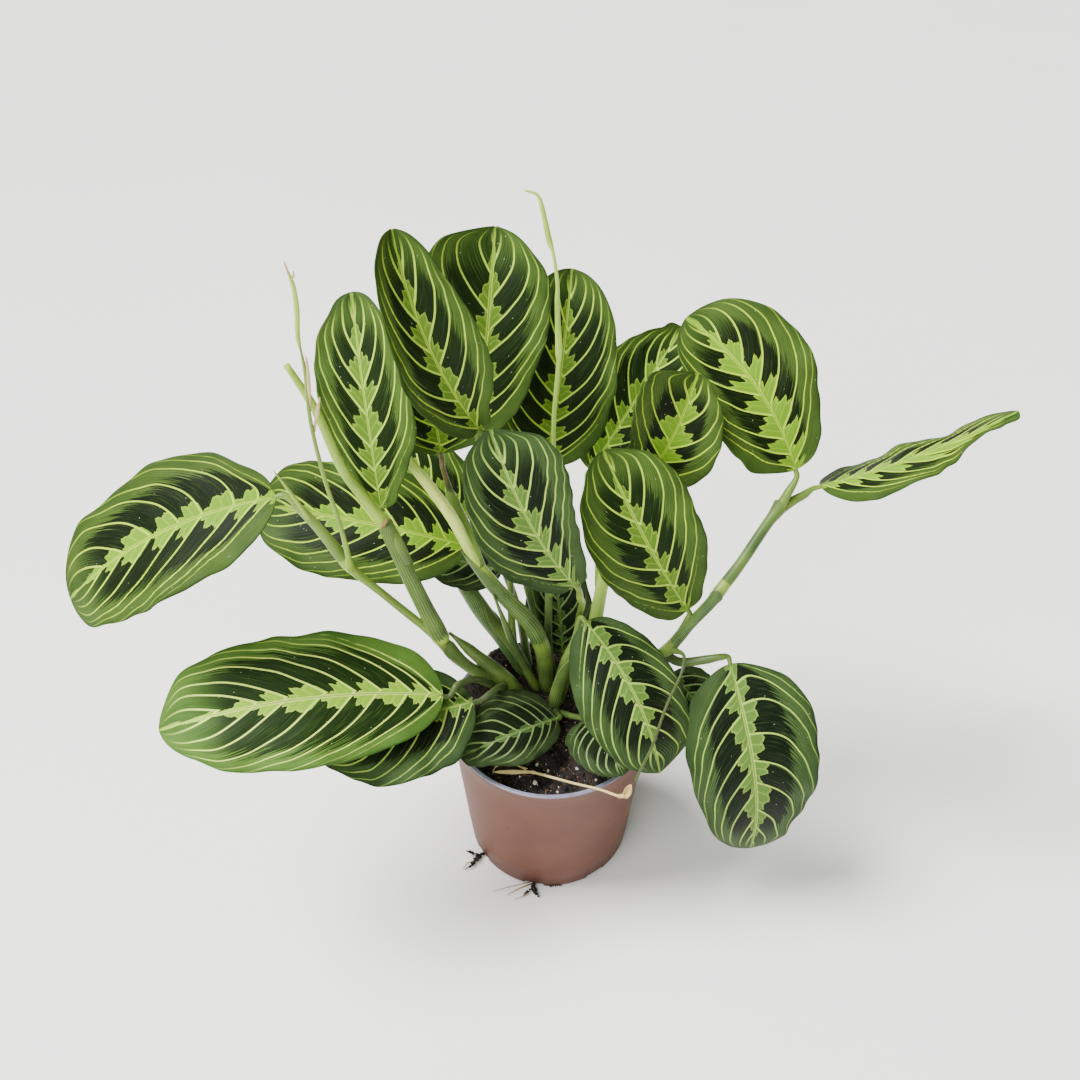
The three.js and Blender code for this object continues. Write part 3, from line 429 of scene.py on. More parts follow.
# The blades' tones: the lime band, the side veins, the dark blotches, and the margin where it is
# dark and where it is light. bright and green are the leaves' own colours; pale, grey and deep are
# lighter, greyer and darker copies that partly paint light, sheen and shade
TONE_PARTS = ("band", "vein", "blotch", "margin", "light")
TONES = {
    # pale: a lighter copy of bright, painted light on the low front blade that the leaves above
    # shade
    "pale": ("#89b72a", "#d2ec6c", "#1b2c0f", "#355820", "#688937"),
    "bright": ("#6a941c", "#acce34", "#101b08", "#213910", "#52692a"),
    "green": ("#5b7d24", "#aed045", "#15240b", "#1f350f", "#58732f"),
    # grey: a greyer, paler copy, partly a painted sheen on the upright and hanging blades, and
    # painted light on the blade in the shade under the bottom left one
    "grey": ("#567730", "#a3c252", "#0f190b", "#1b2f14", "#4b6234"),
    # deep: a darker copy for the low blades and those behind the others, partly older leaves and
    # partly painted shade
    "deep": ("#3f5b2a", "#7d9456", "#161f10", "#1f2f15", "#40502f"),
}


def halves(value):
    """A blade's value for its left and its right half"""
    return value if isinstance(value, tuple) else (value, value)


def smooth(value, low, high):
    """0 below low, 1 above high, and an S curve between them"""
    share = min(1, max(0, (value - low) / (high - low)))
    return share * share * (3 - 2 * share)


def at_step(values, share):
    """A value at a share of the way through values that are given at even steps"""
    if not values:
        return 0
    spot = share * (len(values) - 1)
    first = min(int(spot), len(values) - 2)
    return values[first] + (values[first + 1] - values[first]) * smooth(spot, first, first + 1)


def polar(radius, angle):
    """x and y at a radius and an angle round the pot's axis or another centre"""
    return radius * math.cos(angle), radius * math.sin(angle)


def stray(draw):
    """A random vector, up to 1 each way"""
    return Vector([draw.uniform(-1, 1) for _ in range(3)])


def half_width(leaf, along, across):
    """The width of the blade's left or right half in mm at a share of its length, with its
    irregular edge and a short point at the tip"""
    if along < leaf.widest:
        least, bulge, rounding = BASE_HALF_WIDTH, BASE_BULGE, BASE_ROUND
        reach = (leaf.widest - along) / leaf.widest
    else:
        least, bulge, rounding = TIP_HALF_WIDTH, TIP_BULGE, TIP_ROUND
        reach = (along - leaf.widest) / (1 - leaf.widest)
    width = max(least, leaf.width / 2 * max(0, 1 - reach ** bulge) ** rounding)
    width += at_step(leaf.right if across < 0 else leaf.left, along)
    spot = Vector((EDGE_RATE * along, EDGE_SIDES * (across < 0), leaf.width))
    uneven = noise.noise(spot) * math.sin(math.pi * along)
    length = (Vector(leaf.tip) - Vector(leaf.base)).length
    point = POINT_HALF_WIDTH + POINT_SLOPE * (1 - along) * length
    edge = max(least, width + EDGE_UNEVENNESS * uneven)
    return (edge ** -POINT_BLEND + point ** -POINT_BLEND) ** (-1 / POINT_BLEND)


def blade_point(leaf, share, across):
    """A point of the upper surface in mm, the way it faces and the way the midrib runs there.
    across is a share of the half width, and is negative on the right half."""
    base = Vector(leaf.base)
    along = Vector(leaf.tip) - base
    length = along.length
    along.normalize()
    up = Vector(leaf.face)
    up = (up - along * up.dot(along)).normalized()
    left = up.cross(along)
    arch = 4 * share * (1 - share)
    slope = 4 * (1 - 2 * share)
    middle = base + along * length * share + up * leaf.bow * arch + left * leaf.sway * arch
    tangent = (along * length + up * leaf.bow * slope + left * leaf.sway * slope).normalized()
    side = (left - tangent * left.dot(tangent)).normalized()
    normal = tangent.cross(side)

    hand, half = (-1, 1) if across < 0 else (1, 0)
    reach = abs(across)
    fold = math.radians(halves(leaf.fold)[half])
    curl = math.radians(halves(leaf.curl)[half])
    width = half_width(leaf, share, across)
    lean = fold + curl * reach
    out = width * (math.sin(lean) - math.sin(fold)) / curl
    rise = width * (math.cos(fold) - math.cos(lean)) / curl
    wave = HALF_WAVES * math.pi * share + (RIGHT_PHASE if across < 0 else 0)
    rise += leaf.wave * reach ** 2 * math.sin(wave) * math.sin(math.pi * share)
    facing = normal * math.cos(lean) - side * hand * math.sin(lean)
    return middle + side * hand * out + normal * rise, facing, tangent


def vein_start(leaf, share, across):
    """Where the side vein through a point leaves the midrib, as a share of the blade's length. A
    vein runs out at a slant that grows to the tip, and near the margin it turns along it: share =
    start + (slant + lean * start) * reach + turn * (1 - ease * start ** 2) * reach ** power."""
    reach = abs(across)
    turned = VEIN_TURN * reach ** VEIN_POWER
    lean = 1 + VEIN_LEAN * reach
    rest = share - halves(leaf.slant)[across < 0] * reach - turned
    return 2 * rest / (lean + math.sqrt(lean ** 2 - 4 * VEIN_EASE * turned * rest))


def vein_phase(leaf, share, across):
    """Which side vein a point lies on, counted from the base: whole on a vein, and a half midway
    between two"""
    start = vein_start(leaf, share, across)
    phase = leaf.veins * math.copysign(abs(start) ** VEIN_SPREAD, start)
    offset = VEIN_OFFSET * math.sin(leaf.width + leaf.veins) if across < 0 else 0
    return phase + VEIN_WANDER * math.sin(VEIN_WANDER_RATE * phase + leaf.width) + offset


def vein_gap(leaf, share, across):
    """Distance in mm between the side veins round a point, and none outside the first vein"""
    low, high = max(0, share - GAP_STEP), min(1, share + GAP_STEP)
    inner, outer = max(abs(across) - GAP_STEP, GAP_STEP / 10), abs(across) + GAP_STEP
    hand = -1 if across < 0 else 1
    step = (high - low) * (Vector(leaf.tip) - Vector(leaf.base)).length
    rise = (vein_phase(leaf, high, across) - vein_phase(leaf, low, across)) / step
    width = max(GAP_HALF_WIDTH, half_width(leaf, share, across))
    turn = vein_phase(leaf, share, hand * inner) - vein_phase(leaf, share, hand * outer)
    inside = smooth(vein_start(leaf, share, across), *VEINS_BEGIN)
    return inside / max(GAP_RATE, math.hypot(rise, turn / (2 * GAP_STEP * width)))


def band_width(leaf, share):
    """Half the width of the lime band in mm"""
    grown = BAND_START + (1 - BAND_START) * smooth(share, 0, BAND_GROWN)
    left_over = 1 - BAND_LOSS * smooth(share, BAND_FADES, BAND_GONE)
    return leaf.width / 2 * leaf.band * grown * left_over


def patch(bm, columns, rows, place, maps, material_index=0):
    """A sheet of quads over u and v from 0 to 1, moved to place(u, v) in mm, with UVs from maps"""
    made = bmesh.ops.create_grid(bm, x_segments=columns, y_segments=rows, size=0.5)["verts"]
    spots = {vert: (vert.co.x + 0.5, vert.co.y + 0.5) for vert in made}
    layers = {name: bm.loops.layers.uv.get(name) or bm.loops.layers.uv.new(name) for name in maps}
    for face in {face for vert in made for face in vert.link_faces}:
        face.material_index = material_index
        face.smooth = True
    for vert, (u, v) in spots.items():
        vert.co = place(u, v) * MM
        for name, value in maps.items():
            uv = value(u, v)
            for loop in vert.link_loops:
                loop[layers[name]].uv = uv
    return made


def curve_point(points, share):
    """A point on a smooth centripetal curve through the points, at a share of its spans"""
    place = share * (len(points) - 1)
    first = min(int(place), len(points) - 2)
    weight = place - first
    p1, p2 = points[first], points[first + 1]
    p0 = points[first - 1] if first > 0 else p1 * 2 - p2
    p3 = points[first + 2] if first + 2 < len(points) else p2 * 2 - p1
    d0, d1, d2 = ((b - a).length ** 0.5 for a, b in ((p0, p1), (p1, p2), (p2, p3)))
    t1 = ((p1 - p0) / d0 - (p2 - p0) / (d0 + d1) + (p2 - p1) / d1) * d1
    t2 = ((p2 - p1) / d1 - (p3 - p1) / (d1 + d2) + (p3 - p2) / d2) * d1
    return (p1 + t1 * weight + (p2 * 3 - p1 * 3 - t1 * 2 - t2) * weight ** 2
            + (p1 * 2 - p2 * 2 + t1 + t2) * weight ** 3)


def grow(path, steps=STEM_STEPS):
    """The rings of a stem along a path: centre, two directions across, radius, length so far in mm
    and how near it is to a swollen node"""
    points = [Vector(point[:3]) for point in path.points]
    radii = [point[3] for point in path.points]
    rows = (len(points) - 1) * steps
    centres = [curve_point(points, row / rows) for row in range(rows + 1)]
    swellings = [points[index] for index in range(1, len(radii) - 1)
                 if radii[index] > radii[index - 1] and radii[index] >= radii[index + 1]]
    rings = []
    across = None
    length = 0
    for row, centre in enumerate(centres):
        along = (centres[min(row + 1, rows)] - centres[max(row - 1, 0)]).normalized()
        across = across or Vector((along.y, along.z, along.x)).cross(along)
        across = (across - along * across.dot(along)).normalized()
        first = min(int(row / steps), len(radii) - 2)
        ease = smooth(row / steps - first, 0, 1)
        radius = radii[first] * (1 - ease) + radii[first + 1] * ease
        length += (centre - centres[max(row - 1, 0)]).length
        swell = max([math.exp(-((centre - node).length / NODE_REACH) ** 2) for node in swellings],
                    default=0)
        rings.append((centre, across, along.cross(across), radius, length, swell))
    return rings


def tube(bm, path, sides, steps=STEM_STEPS, material_index=0):
    """A closed tube along a path. Its stem map is the way round and the length in cm, and its tint
    map is how pale it is and how near it is to a swollen node."""
    rings = grow(path, steps)

    def ring(v):
        return rings[round(v * (len(rings) - 1))]

    def place(u, v):
        centre, one, other, radius, *_ = ring(v)
        angle = 2 * math.pi * u
        return centre + (one * math.cos(angle) + other * math.sin(angle)) * radius

    maps = {"stem": lambda u, v: (u, ring(v)[4] / MM_PER_CM),
            "tint": lambda u, v: (at_step(path.pale, v), ring(v)[5])}
    made = patch(bm, sides, len(rings) - 1, place, maps, material_index)
    bmesh.ops.remove_doubles(bm, verts=made, dist=MERGE / 10)
    edges = {edge for vert in made if vert.is_valid for edge in vert.link_edges if edge.is_boundary}
    for face in bmesh.ops.holes_fill(bm, edges=list(edges), sides=0)["faces"]:
        face.material_index = material_index


def sleeve(bm, path, wrap, columns=22, rows=30):
    """A sheath round part of a stem: a sheet that is wrapped nearly all the way round at its foot
    and narrows to a point that stands a little off the stem"""
    rings = grow(path)
    low, high = (round(place * STEM_STEPS) for place in (wrap.first, wrap.last))
    toward = Vector(wrap.toward)

    def place(u, v):
        spot = low + (high - low) * v
        index = min(int(spot), len(rings) - 2)
        ease = spot - index
        centre = rings[index][0].lerp(rings[index + 1][0], ease)
        radius = rings[index][3] * (1 - ease) + rings[index + 1][3] * ease
        along = (rings[index + 1][0] - rings[index][0]).normalized()
        out = (toward - along * toward.dot(along)).normalized()
        narrowed = max(SHEATH_TIP_WIDTH, 1 - v ** wrap.blunt) ** SHEATH_TIP_ROUND
        angle = (u - 0.5) * math.radians(wrap.spread) * narrowed
        swell = radius - SHEATH_SINK + SHEATH_FOOT_RISE * smooth(v, 0, SHEATH_FOOT_END)
        swell += wrap.lift * smooth(v, SHEATH_TIP_START, 1)
        edge = abs(2 * u - 1) ** SHEATH_EDGE_POWER * smooth(v, 0, SHEATH_EDGE_START)
        swell += SHEATH_EDGE_RISE * edge
        return centre + (out * math.cos(angle) + along.cross(out) * math.sin(angle)) * swell

    length = (rings[high][0] - rings[low][0]).length
    patch(bm, columns, rows, place, {"stem": lambda u, v: (u, v * length / MM_PER_CM),
                                     "tint": lambda u, v: (wrap.pale, 0)})


def to_object(name, bm, *finishes):
    """Makes the mesh an object of that name with its materials, at the origin"""
    mesh = bpy.data.meshes.new(name)
    bm.to_mesh(mesh)
    bm.free()
    piece = bpy.data.objects.new(name, mesh)
    bpy.context.collection.objects.link(piece)
    for finish in finishes:
        mesh.materials.append(material(finish))
    return piece


def seat(piece, slot, *nodes):
    """Rides the piece on the part, with the nodes that it stands for. Its slot is not used."""
    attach(piece, "root")
    if nodes:
        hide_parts(*nodes)


def thicken(piece, thickness, offset=-1, back=0):
    """Gives a sheet its thickness in mm, behind it or with 1 before it, and its back a material"""
    shell = piece.modifiers.new("Thickness", "SOLIDIFY")
    shell.thickness = thickness * MM
    shell.offset = offset
    shell.material_offset = back


def linear(colour):
    """The linear RGBA of an sRGB hex colour"""
    channels = [int(colour[place:place + 2], 16) / 255 for place in (1, 3, 5)]
    return (*(c / 12.92 if c <= 0.04045 else ((c + 0.055) / 1.055) ** 2.4 for c in channels), 1.0)


def add(tree, kind, inputs=(), out=0, **settings):
    """Adds a shader node with its settings and its inputs, by name or number or as a list in the
    node's own order, and gives one of its outputs. A list for MapRange holds the value, the range
    that it comes from and the range that it goes to."""
    node = tree.nodes.new("ShaderNode" + kind)
    for name, value in settings.items():
        setattr(node, name, value)
    for socket, value in (inputs if isinstance(inputs, dict) else dict(enumerate(inputs))).items():
        if isinstance(value, bpy.types.NodeSocket):
            tree.links.new(value, node.inputs[socket])
        else:
            node.inputs[socket].default_value = value
    return node.outputs[out]


def new_material(name):
    """An empty material, with its node tree and its output node"""
    made = bpy.data.materials.new(name)
    made.use_nodes = True
    tree = made.node_tree
    tree.nodes.clear()
    return made, tree, tree.nodes.new("ShaderNodeOutputMaterial")


def finish_material(tree, output, inputs):
    """Joins a Principled shader with these inputs to the output"""
    tree.links.new(add(tree, "BsdfPrincipled", inputs), output.inputs["Surface"])


def leaf_top_material(tone):
    """Upper side of a maranta leaf: a waxy green skin with a lime band along the midrib, pale side
    veins, near-black blotches between them and fine lines in the margin. The vein map counts the
    side veins and gives the mm between them, the blade map is the way across and along, and the
    mark map is the distance from the midrib in band widths and in blotch reaches."""
    colours = dict(zip(TONE_PARTS, map(linear, TONES[tone])))
    made, tree, output = new_material(f"waxy maranta leaf, {tone}")
    blade, veins, marks = (add(tree, "SeparateXYZ", [add(tree, "UVMap", uv_map=name)]).node.outputs
                           for name in ("blade", "veins", "marks"))
    reach = add(tree, "Math", [blade[0]], operation="ABSOLUTE")
    along, phase, gap = blade[1], veins[0], veins[1]

    # Streaks run with the side veins: 16 to each space between two, and each about 8 mm long
    lengthwise = add(tree, "CombineXYZ", [phase, reach])
    streak = add(tree, "VectorMath", [lengthwise, (16.0, 3.5, 1.0)], operation="MULTIPLY")
    streak = add(tree, "TexNoise", {"Vector": streak, "Scale": 1.0, "Detail": 3.0})
    uneven = add(tree, "TexNoise", {"Vector": lengthwise, "Scale": 1.7, "Detail": 1.0})
    place = add(tree, "TexCoord", out=3)
    cloud = add(tree, "TexNoise", {"Vector": place, "Scale": 1 / (16 * MM), "Detail": 2.0})

    # Side veins: about 1 mm wide at the midrib and half that at the edge, and fainter at the
    # margin, where they crowd and before the tip
    to_vein = add(tree, "Math", [phase, 0.5], operation="PINGPONG")
    vein_distance = add(tree, "Math", [to_vein, gap], operation="MULTIPLY")
    vein_half = add(tree, "MapRange", [reach, 0.0, 1.0, 0.52, 0.24])
    inside_vein = add(tree, "Math", [vein_half, vein_distance], operation="SUBTRACT")
    vein = add(tree, "MapRange", [inside_vein, -0.16, 0.14], interpolation_type="SMOOTHSTEP")
    for fade in ([reach, 1.0, 0.75, 0.25], [gap, 1.8, 3.6], [along, 0.97, 0.86, 0.15]):
        vein = add(tree, "Math", [vein, add(tree, "MapRange", fade)], operation="MULTIPLY")

    # Lime band: two teeth to each space between veins, then a notch just before the next vein
    between = add(tree, "Math", [uneven, 0.12, phase], operation="MULTIPLY_ADD")
    between = add(tree, "Math", [between], operation="FRACT")
    teeth = add(tree, "Math", [between, 2.6, 0.1], operation="MULTIPLY_ADD")
    teeth = add(tree, "Math", [teeth, 0.5], operation="PINGPONG")
    notch = add(tree, "MapRange", [between, 0.42, 0.95])
    notch_depth = add(tree, "MapRange", [uneven, 0.35, 0.65, 0.6, 1.15])
    notch = add(tree, "Math", [notch, notch_depth], operation="MULTIPLY")
    edge = add(tree, "Math", [teeth, 0.62, 0.82], operation="MULTIPLY_ADD")
    edge = add(tree, "Math", [streak, 0.3, edge], operation="MULTIPLY_ADD")
    edge = add(tree, "Math", [edge, notch], operation="SUBTRACT")
    inside_band = add(tree, "Math", [edge, marks[0]], operation="SUBTRACT")
    band = add(tree, "MapRange", [inside_band, -0.03, 0.04], interpolation_type="SMOOTHSTEP")

    # Dark blotch from the band out to a ragged, streaky end
    ragged = add(tree, "Math", [streak, 1.1, marks[1]], operation="MULTIPLY_ADD")
    blotch = add(tree, "MapRange", [ragged, 1.57, 1.46], interpolation_type="SMOOTHSTEP")
    tip_fade = add(tree, "MapRange", [along, 0.92, 0.74], interpolation_type="SMOOTHSTEP")
    thin = add(tree, "MapRange", [streak, 0.5, 0.75, 1.0, 0.6])
    for share in (tip_fade, thin):
        blotch = add(tree, "Math", [blotch, share], operation="MULTIPLY")

    # Margin: from dark to mid green, with fine pale lines that run with the veins
    lines = add(tree, "Math", [phase, 8.0], operation="MULTIPLY")
    lines = add(tree, "Math", [uneven, 0.6, lines], operation="MULTIPLY_ADD")
    lines = add(tree, "Math", [lines, 0.5], operation="PINGPONG")
    lines = add(tree, "MapRange", [lines, 0.16, 0.05])
    before_rim = add(tree, "MapRange", [reach, 1.0, 0.8, 0.25])
    broken = add(tree, "MapRange", [streak, 0.4, 0.56])
    wide = add(tree, "MapRange", [gap, 1.2, 2.6, 0.3])
    for share in (broken, before_rim, wide):
        lines = add(tree, "Math", [lines, share], operation="MULTIPLY")
    middle = add(tree, "MapRange", [reach, 0.3, 0.62])
    middle = add(tree, "Math", [middle, before_rim], operation="MULTIPLY")
    lightness = -0.15
    for part, weight in ((cloud, 0.6), (middle, 0.25), (lines, 1.0)):
        lightness = add(tree, "Math", [part, weight, lightness], operation="MULTIPLY_ADD")

    # The band has a paler rim and fine pale lines
    band_rim = add(tree, "MapRange", [inside_band, 0.2, 0.0, 0.0, 0.5])
    fine = add(tree, "Math", [phase, 3.0], operation="MULTIPLY")
    fine = add(tree, "Math", [fine, 0.5], operation="PINGPONG")
    fine = add(tree, "MapRange", [fine, 0.12, 0.0, 0.0, 0.35])
    paler = add(tree, "Math", [band_rim, fine], operation="MAXIMUM")
    band_colour = add(tree, "Mix", {0: paler, 6: colours["band"], 7: colours["vein"]}, **IN_COLOUR)

    # The midrib is a pale line with a dark thread, and specks of dust and hard water lie over all
    rib = add(tree, "MapRange", [reach, 0.032, 0.018, 0.0, 0.8])
    thread = add(tree, "MapRange", [reach, 0.012, 0.005, 0.0, 0.55])
    specks = add(tree, "TexVoronoi", {"Vector": place, "Scale": 1 / (5 * MM)})
    specks = add(tree, "MapRange", [specks, 0.06, 0.045, 0.0, 0.4])
    colour = colours["margin"]
    for share, over in ((lightness, colours["light"]), (blotch, colours["blotch"]),
                        (band, band_colour), (vein, colours["vein"]), (rib, colours["vein"]),
                        (thread, colours["margin"]), (specks, linear("#e4e8cf"))):
        colour = add(tree, "Mix", {0: share, 6: colour, 7: over}, **IN_COLOUR)

    gloss = add(tree, "MapRange", [streak, 0.0, 1.0, 0.36, 0.56])
    height = streak
    for part, weight in ((vein, 0.7), (rib, -1.2), (lines, 0.5)):
        height = add(tree, "Math", [part, weight, height], operation="MULTIPLY_ADD")
    bump = add(tree, "Bump", {"Height": height, "Strength": 0.6, "Distance": 0.3 * MM})
    finish_material(tree, output, {"Base Color": colour, "Roughness": gloss, "Normal": bump,
                                   "Specular IOR Level": 0.07})
    return made


def leaf_back_material():
    """Underside of a maranta leaf: dull, paler and greyer, with faint veins"""
    made, tree, output = new_material("dull maranta underside")
    veins = add(tree, "SeparateXYZ", [add(tree, "UVMap", uv_map="veins")])
    to_vein = add(tree, "Math", [veins, 0.5], operation="PINGPONG")
    line = add(tree, "MapRange", [to_vein, 0.08, 0.02])
    mottle = add(tree, "TexNoise", {"Vector": add(tree, "TexCoord", out=3), "Scale": 1 / (9 * MM)})
    colour = linear("#6a8850")
    for share, over in ((mottle, "#86a168"), (line, "#a9bc84")):
        colour = add(tree, "Mix", {0: share, 6: colour, 7: linear(over)}, **IN_COLOUR)
    bump = add(tree, "Bump", {"Height": line, "Strength": 0.6, "Distance": 0.25 * MM})
    finish_material(tree, output, {"Base Color": colour, "Roughness": 0.6, "Normal": bump})
    return made


def grown_skin(tree, ridges, dot_rates, dot_range):
    """What stems and sheaths share: their place and tint maps, how pale they are in clouds 18 mm
    wide, the ridges along them and the pale dots that break the ridges up"""
    place = add(tree, "UVMap", uv_map="stem")
    round_place = add(tree, "SeparateXYZ", [place])
    tint = add(tree, "SeparateXYZ", [add(tree, "UVMap", uv_map="tint")]).node.outputs
    cloud = add(tree, "TexNoise", {"Vector": add(tree, "TexCoord", out=3), "Scale": 1 / (18 * MM)})
    pale = add(tree, "Math", [cloud, 0.5, tint[0]], operation="MULTIPLY_ADD")
    pale = add(tree, "Math", [pale, 0.2], operation="SUBTRACT")
    ridge = add(tree, "Math", [round_place, 2 * math.pi * ridges], operation="MULTIPLY")
    ridge = add(tree, "Math", [ridge], operation="SINE")
    dots = add(tree, "VectorMath", [place, dot_rates], operation="MULTIPLY")
    dots = add(tree, "TexNoise", {"Vector": dots, "Scale": 1.0, "Detail": 1.0})
    dots = add(tree, "Math", [ridge, dots], operation="MULTIPLY")
    return place, round_place, tint, pale, ridge, add(tree, "MapRange", [dots, *dot_range])


def stem_material():
    """Stem and petiole skin: smooth and satin, dark green where it is old and yellow-green on new
    growth and at the swollen nodes. The dark green is made darker as painted shade on the lower
    stems, and the palest yellow on the upper stems is partly a painted highlight. Its ridges are
    0.8 mm apart on a stem 6 mm thick, broken into dots about 0.7 mm long."""
    made, tree, output = new_material("ribbed green stem")
    place, _, tint, pale, ridge, light = grown_skin(tree, 24, (24.0, 14.0, 1.0),
                                                    (0.2, 0.55, 0.0, 0.2))
    streak = add(tree, "VectorMath", [place, (26.0, 1.2, 1.0)], operation="MULTIPLY")
    streak = add(tree, "TexNoise", {"Vector": streak, "Scale": 1.0, "Detail": 3.0})
    pale = add(tree, "Math", [tint[1], 0.2, pale], operation="MULTIPLY_ADD")
    # Tints above 0.9 mix in a pale yellow that is partly new growth and partly a painted highlight
    # on the upper stems
    young_and_highlight = add(tree, "MapRange", [tint[0], 0.9, 1.5])
    brown = add(tree, "MapRange", [tint[0], 0.0, -1.0])
    dark = add(tree, "MapRange", [streak, 0.5, 0.68, 0.0, 0.4])
    # The dark base is the old stems' green, made darker as painted shade on the lower stems under
    # the foliage
    colour = linear("#2a3f22")
    for share, over in ((pale, "#a9ce48"), (young_and_highlight, "#eeff80"), (brown, "#8c6c40"),
                        (light, "#bcd070"), (dark, "#36571c")):
        colour = add(tree, "Mix", {0: share, 6: colour, 7: linear(over)}, **IN_COLOUR)
    height = add(tree, "Math", [ridge, 0.2, streak], operation="MULTIPLY_ADD")
    bump = add(tree, "Bump", {"Height": height, "Strength": 0.4, "Distance": 0.15 * MM})
    finish_material(tree, output, {"Base Color": colour, "Roughness": 0.3, "Normal": bump,
                                   "Specular IOR Level": 0.25})
    return made


def sheath_material():
    """Sheath of a leaf stalk: thin and matt, grey-green and dotted along its veins, paler and dry
    along its two edges"""
    made, tree, output = new_material("thin green sheath")
    _, round_place, _, pale, ridge, light = grown_skin(tree, 18, (18.0, 13.0, 1.0),
                                                       (0.15, 0.5, 0.0, 0.3))
    from_middle = add(tree, "Math", [round_place, 0.5], operation="SUBTRACT")
    from_middle = add(tree, "Math", [from_middle], operation="ABSOLUTE")
    edge = add(tree, "MapRange", [from_middle, 0.465, 0.495, 0.0, 0.45])
    colour = linear("#2b4420")
    for share, over in ((pale, "#a8cc54"), (light, "#a8c46c"), (edge, "#b5c47a")):
        colour = add(tree, "Mix", {0: share, 6: colour, 7: linear(over)}, **IN_COLOUR)
    bump = add(tree, "Bump", {"Height": ridge, "Strength": 0.25, "Distance": 0.1 * MM})
    finish_material(tree, output, {"Base Color": colour, "Roughness": 0.4, "Normal": bump,
                                   "Specular IOR Level": 0.2})
    return made


def straw_material():
    """Dead flower stalk: dry straw, split and browned in streaks"""
    made, tree, output = new_material("dry straw")
    place = add(tree, "VectorMath", [add(tree, "UVMap", uv_map="stem"), (14.0, 1.6, 1.0)],
                operation="MULTIPLY")
    streak = add(tree, "TexNoise", {"Vector": place, "Scale": 1.0, "Detail": 4.0})
    colour = add(tree, "Mix", {0: streak, 6: linear("#a88a48"), 7: linear("#e8d698")}, **IN_COLOUR)
    bump = add(tree, "Bump", {"Height": streak, "Strength": 0.8, "Distance": 0.25 * MM})
    finish_material(tree, output, {"Base Color": colour, "Roughness": 0.75, "Normal": bump})
    return made


def pot_outside_material():
    """Thin injection-moulded polypropylene, terracotta brown: semi-matt, a little cloudy, with a
    fine moulded grain, a few specks of soil, and dusty and greyer up to 25 mm below the rim"""
    made, tree, output = new_material("terracotta polypropylene")
    place = add(tree, "TexCoord", out=3)
    cloud = add(tree, "TexNoise", {"Vector": place, "Scale": 1 / (26 * MM), "Detail": 3.0})
    shade = add(tree, "MapRange", [cloud, 0.3, 0.7])
    height = add(tree, "SeparateXYZ", [place], out=2)
    dusty = add(tree, "MapRange", [height, 80 * MM, 106 * MM, 0.0, 0.2])
    specks = add(tree, "TexVoronoi", {"Vector": place, "Scale": 1 / (13 * MM)})
    specks = add(tree, "MapRange", [specks, 0.06, 0.035])
    looks = bpy.context.scene.pot_looks
    colour = tuple(looks.wall_colour)
    for share, over in ((shade, tuple(looks.wall_clouds)), (dusty, linear("#665049")),
                        (specks, linear("#2c201a"))):
        colour = add(tree, "Mix", {0: share, 6: colour, 7: over}, **IN_COLOUR)
    grain = add(tree, "TexNoise", {"Vector": place, "Scale": 1 / (1.2 * MM), "Detail": 2.0})
    gloss = add(tree, "MapRange", [cloud, 0.0, 1.0, 0.45, 0.6])
    bump = add(tree, "Bump", {"Height": grain, "Strength": 0.25, "Distance": 0.1 * MM})
    finish_material(tree, output, {"Base Color": colour, "Roughness": gloss, "Normal": bump,
                                   "Specular IOR Level": 0.2})
    return made


def peat_material():
    """Moist peat: near-black brown crumbs with red-brown fibres"""
    made, tree, output = new_material("moist peat")
    place = add(tree, "TexCoord", out=3)
    coarse = add(tree, "TexNoise", {"Vector": place, "Scale": 1 / (3.5 * MM), "Detail": 6.0})
    fine = add(tree, "TexNoise", {"Vector": place, "Scale": 1 / (0.8 * MM), "Detail": 3.0})
    shade = add(tree, "MapRange", [coarse, 0.38, 0.68])
    colour = add(tree, "Mix", {0: shade, 6: linear("#0b0807"), 7: linear("#2a1e17")}, **IN_COLOUR)
    height = add(tree, "Math", [fine, 0.4, coarse], operation="MULTIPLY_ADD")
    bump = add(tree, "Bump", {"Height": height, "Strength": 1.0, "Distance": 0.9 * MM})
    finish_material(tree, output, {"Base Color": colour, "Roughness": 0.9, "Normal": bump})
    return made


@dataclass
class Finish:
    """A material of two colours that one noise mixes: its name, the noise's size in mm and its
    detail, the colours, the roughness, the range that the noise is mapped from and to where it is
    mapped, and the bump's strength and its depth in mm where it has one"""
    name: str
    size: float
    detail: float
    colours: tuple
    roughness: float
    mapped: tuple = ()
    bump: tuple = ()


FINISHES = {
    # The pot's inner layer and lip: violet-grey plastic, scuffed and dusted with peat
    "pot_inside": Finish("grey polypropylene", 4, 5.0, ("#777589", "#564b47"), 0.42,
                         mapped=(0.55, 0.75, 0.0, 0.6)),
    # Chalky cream grains with pits
    "perlite": Finish("chalky perlite", 0.7, 2.0, ("#a9a089", "#ece5d0"), 0.9, bump=(0.7, 0.3)),
    # Peat fibres and bits of bark: red-brown and dry
    "fibre": Finish("brown peat fibre", 5, 2.0, ("#3d241a", "#7d5f4a"), 0.85, mapped=(0.35, 0.65)),
    # Dead roots: thin, dry and golden brown
    "root": Finish("dry root", 4, 3.0, ("#6b4f2c", "#b79a5e"), 0.8),
    # The table top: pale, even and semi-matt
    "floor": Finish("pale painted board", 300, 2.0, ("#f6f5f1", "#fbfaf7"), 0.65),
}


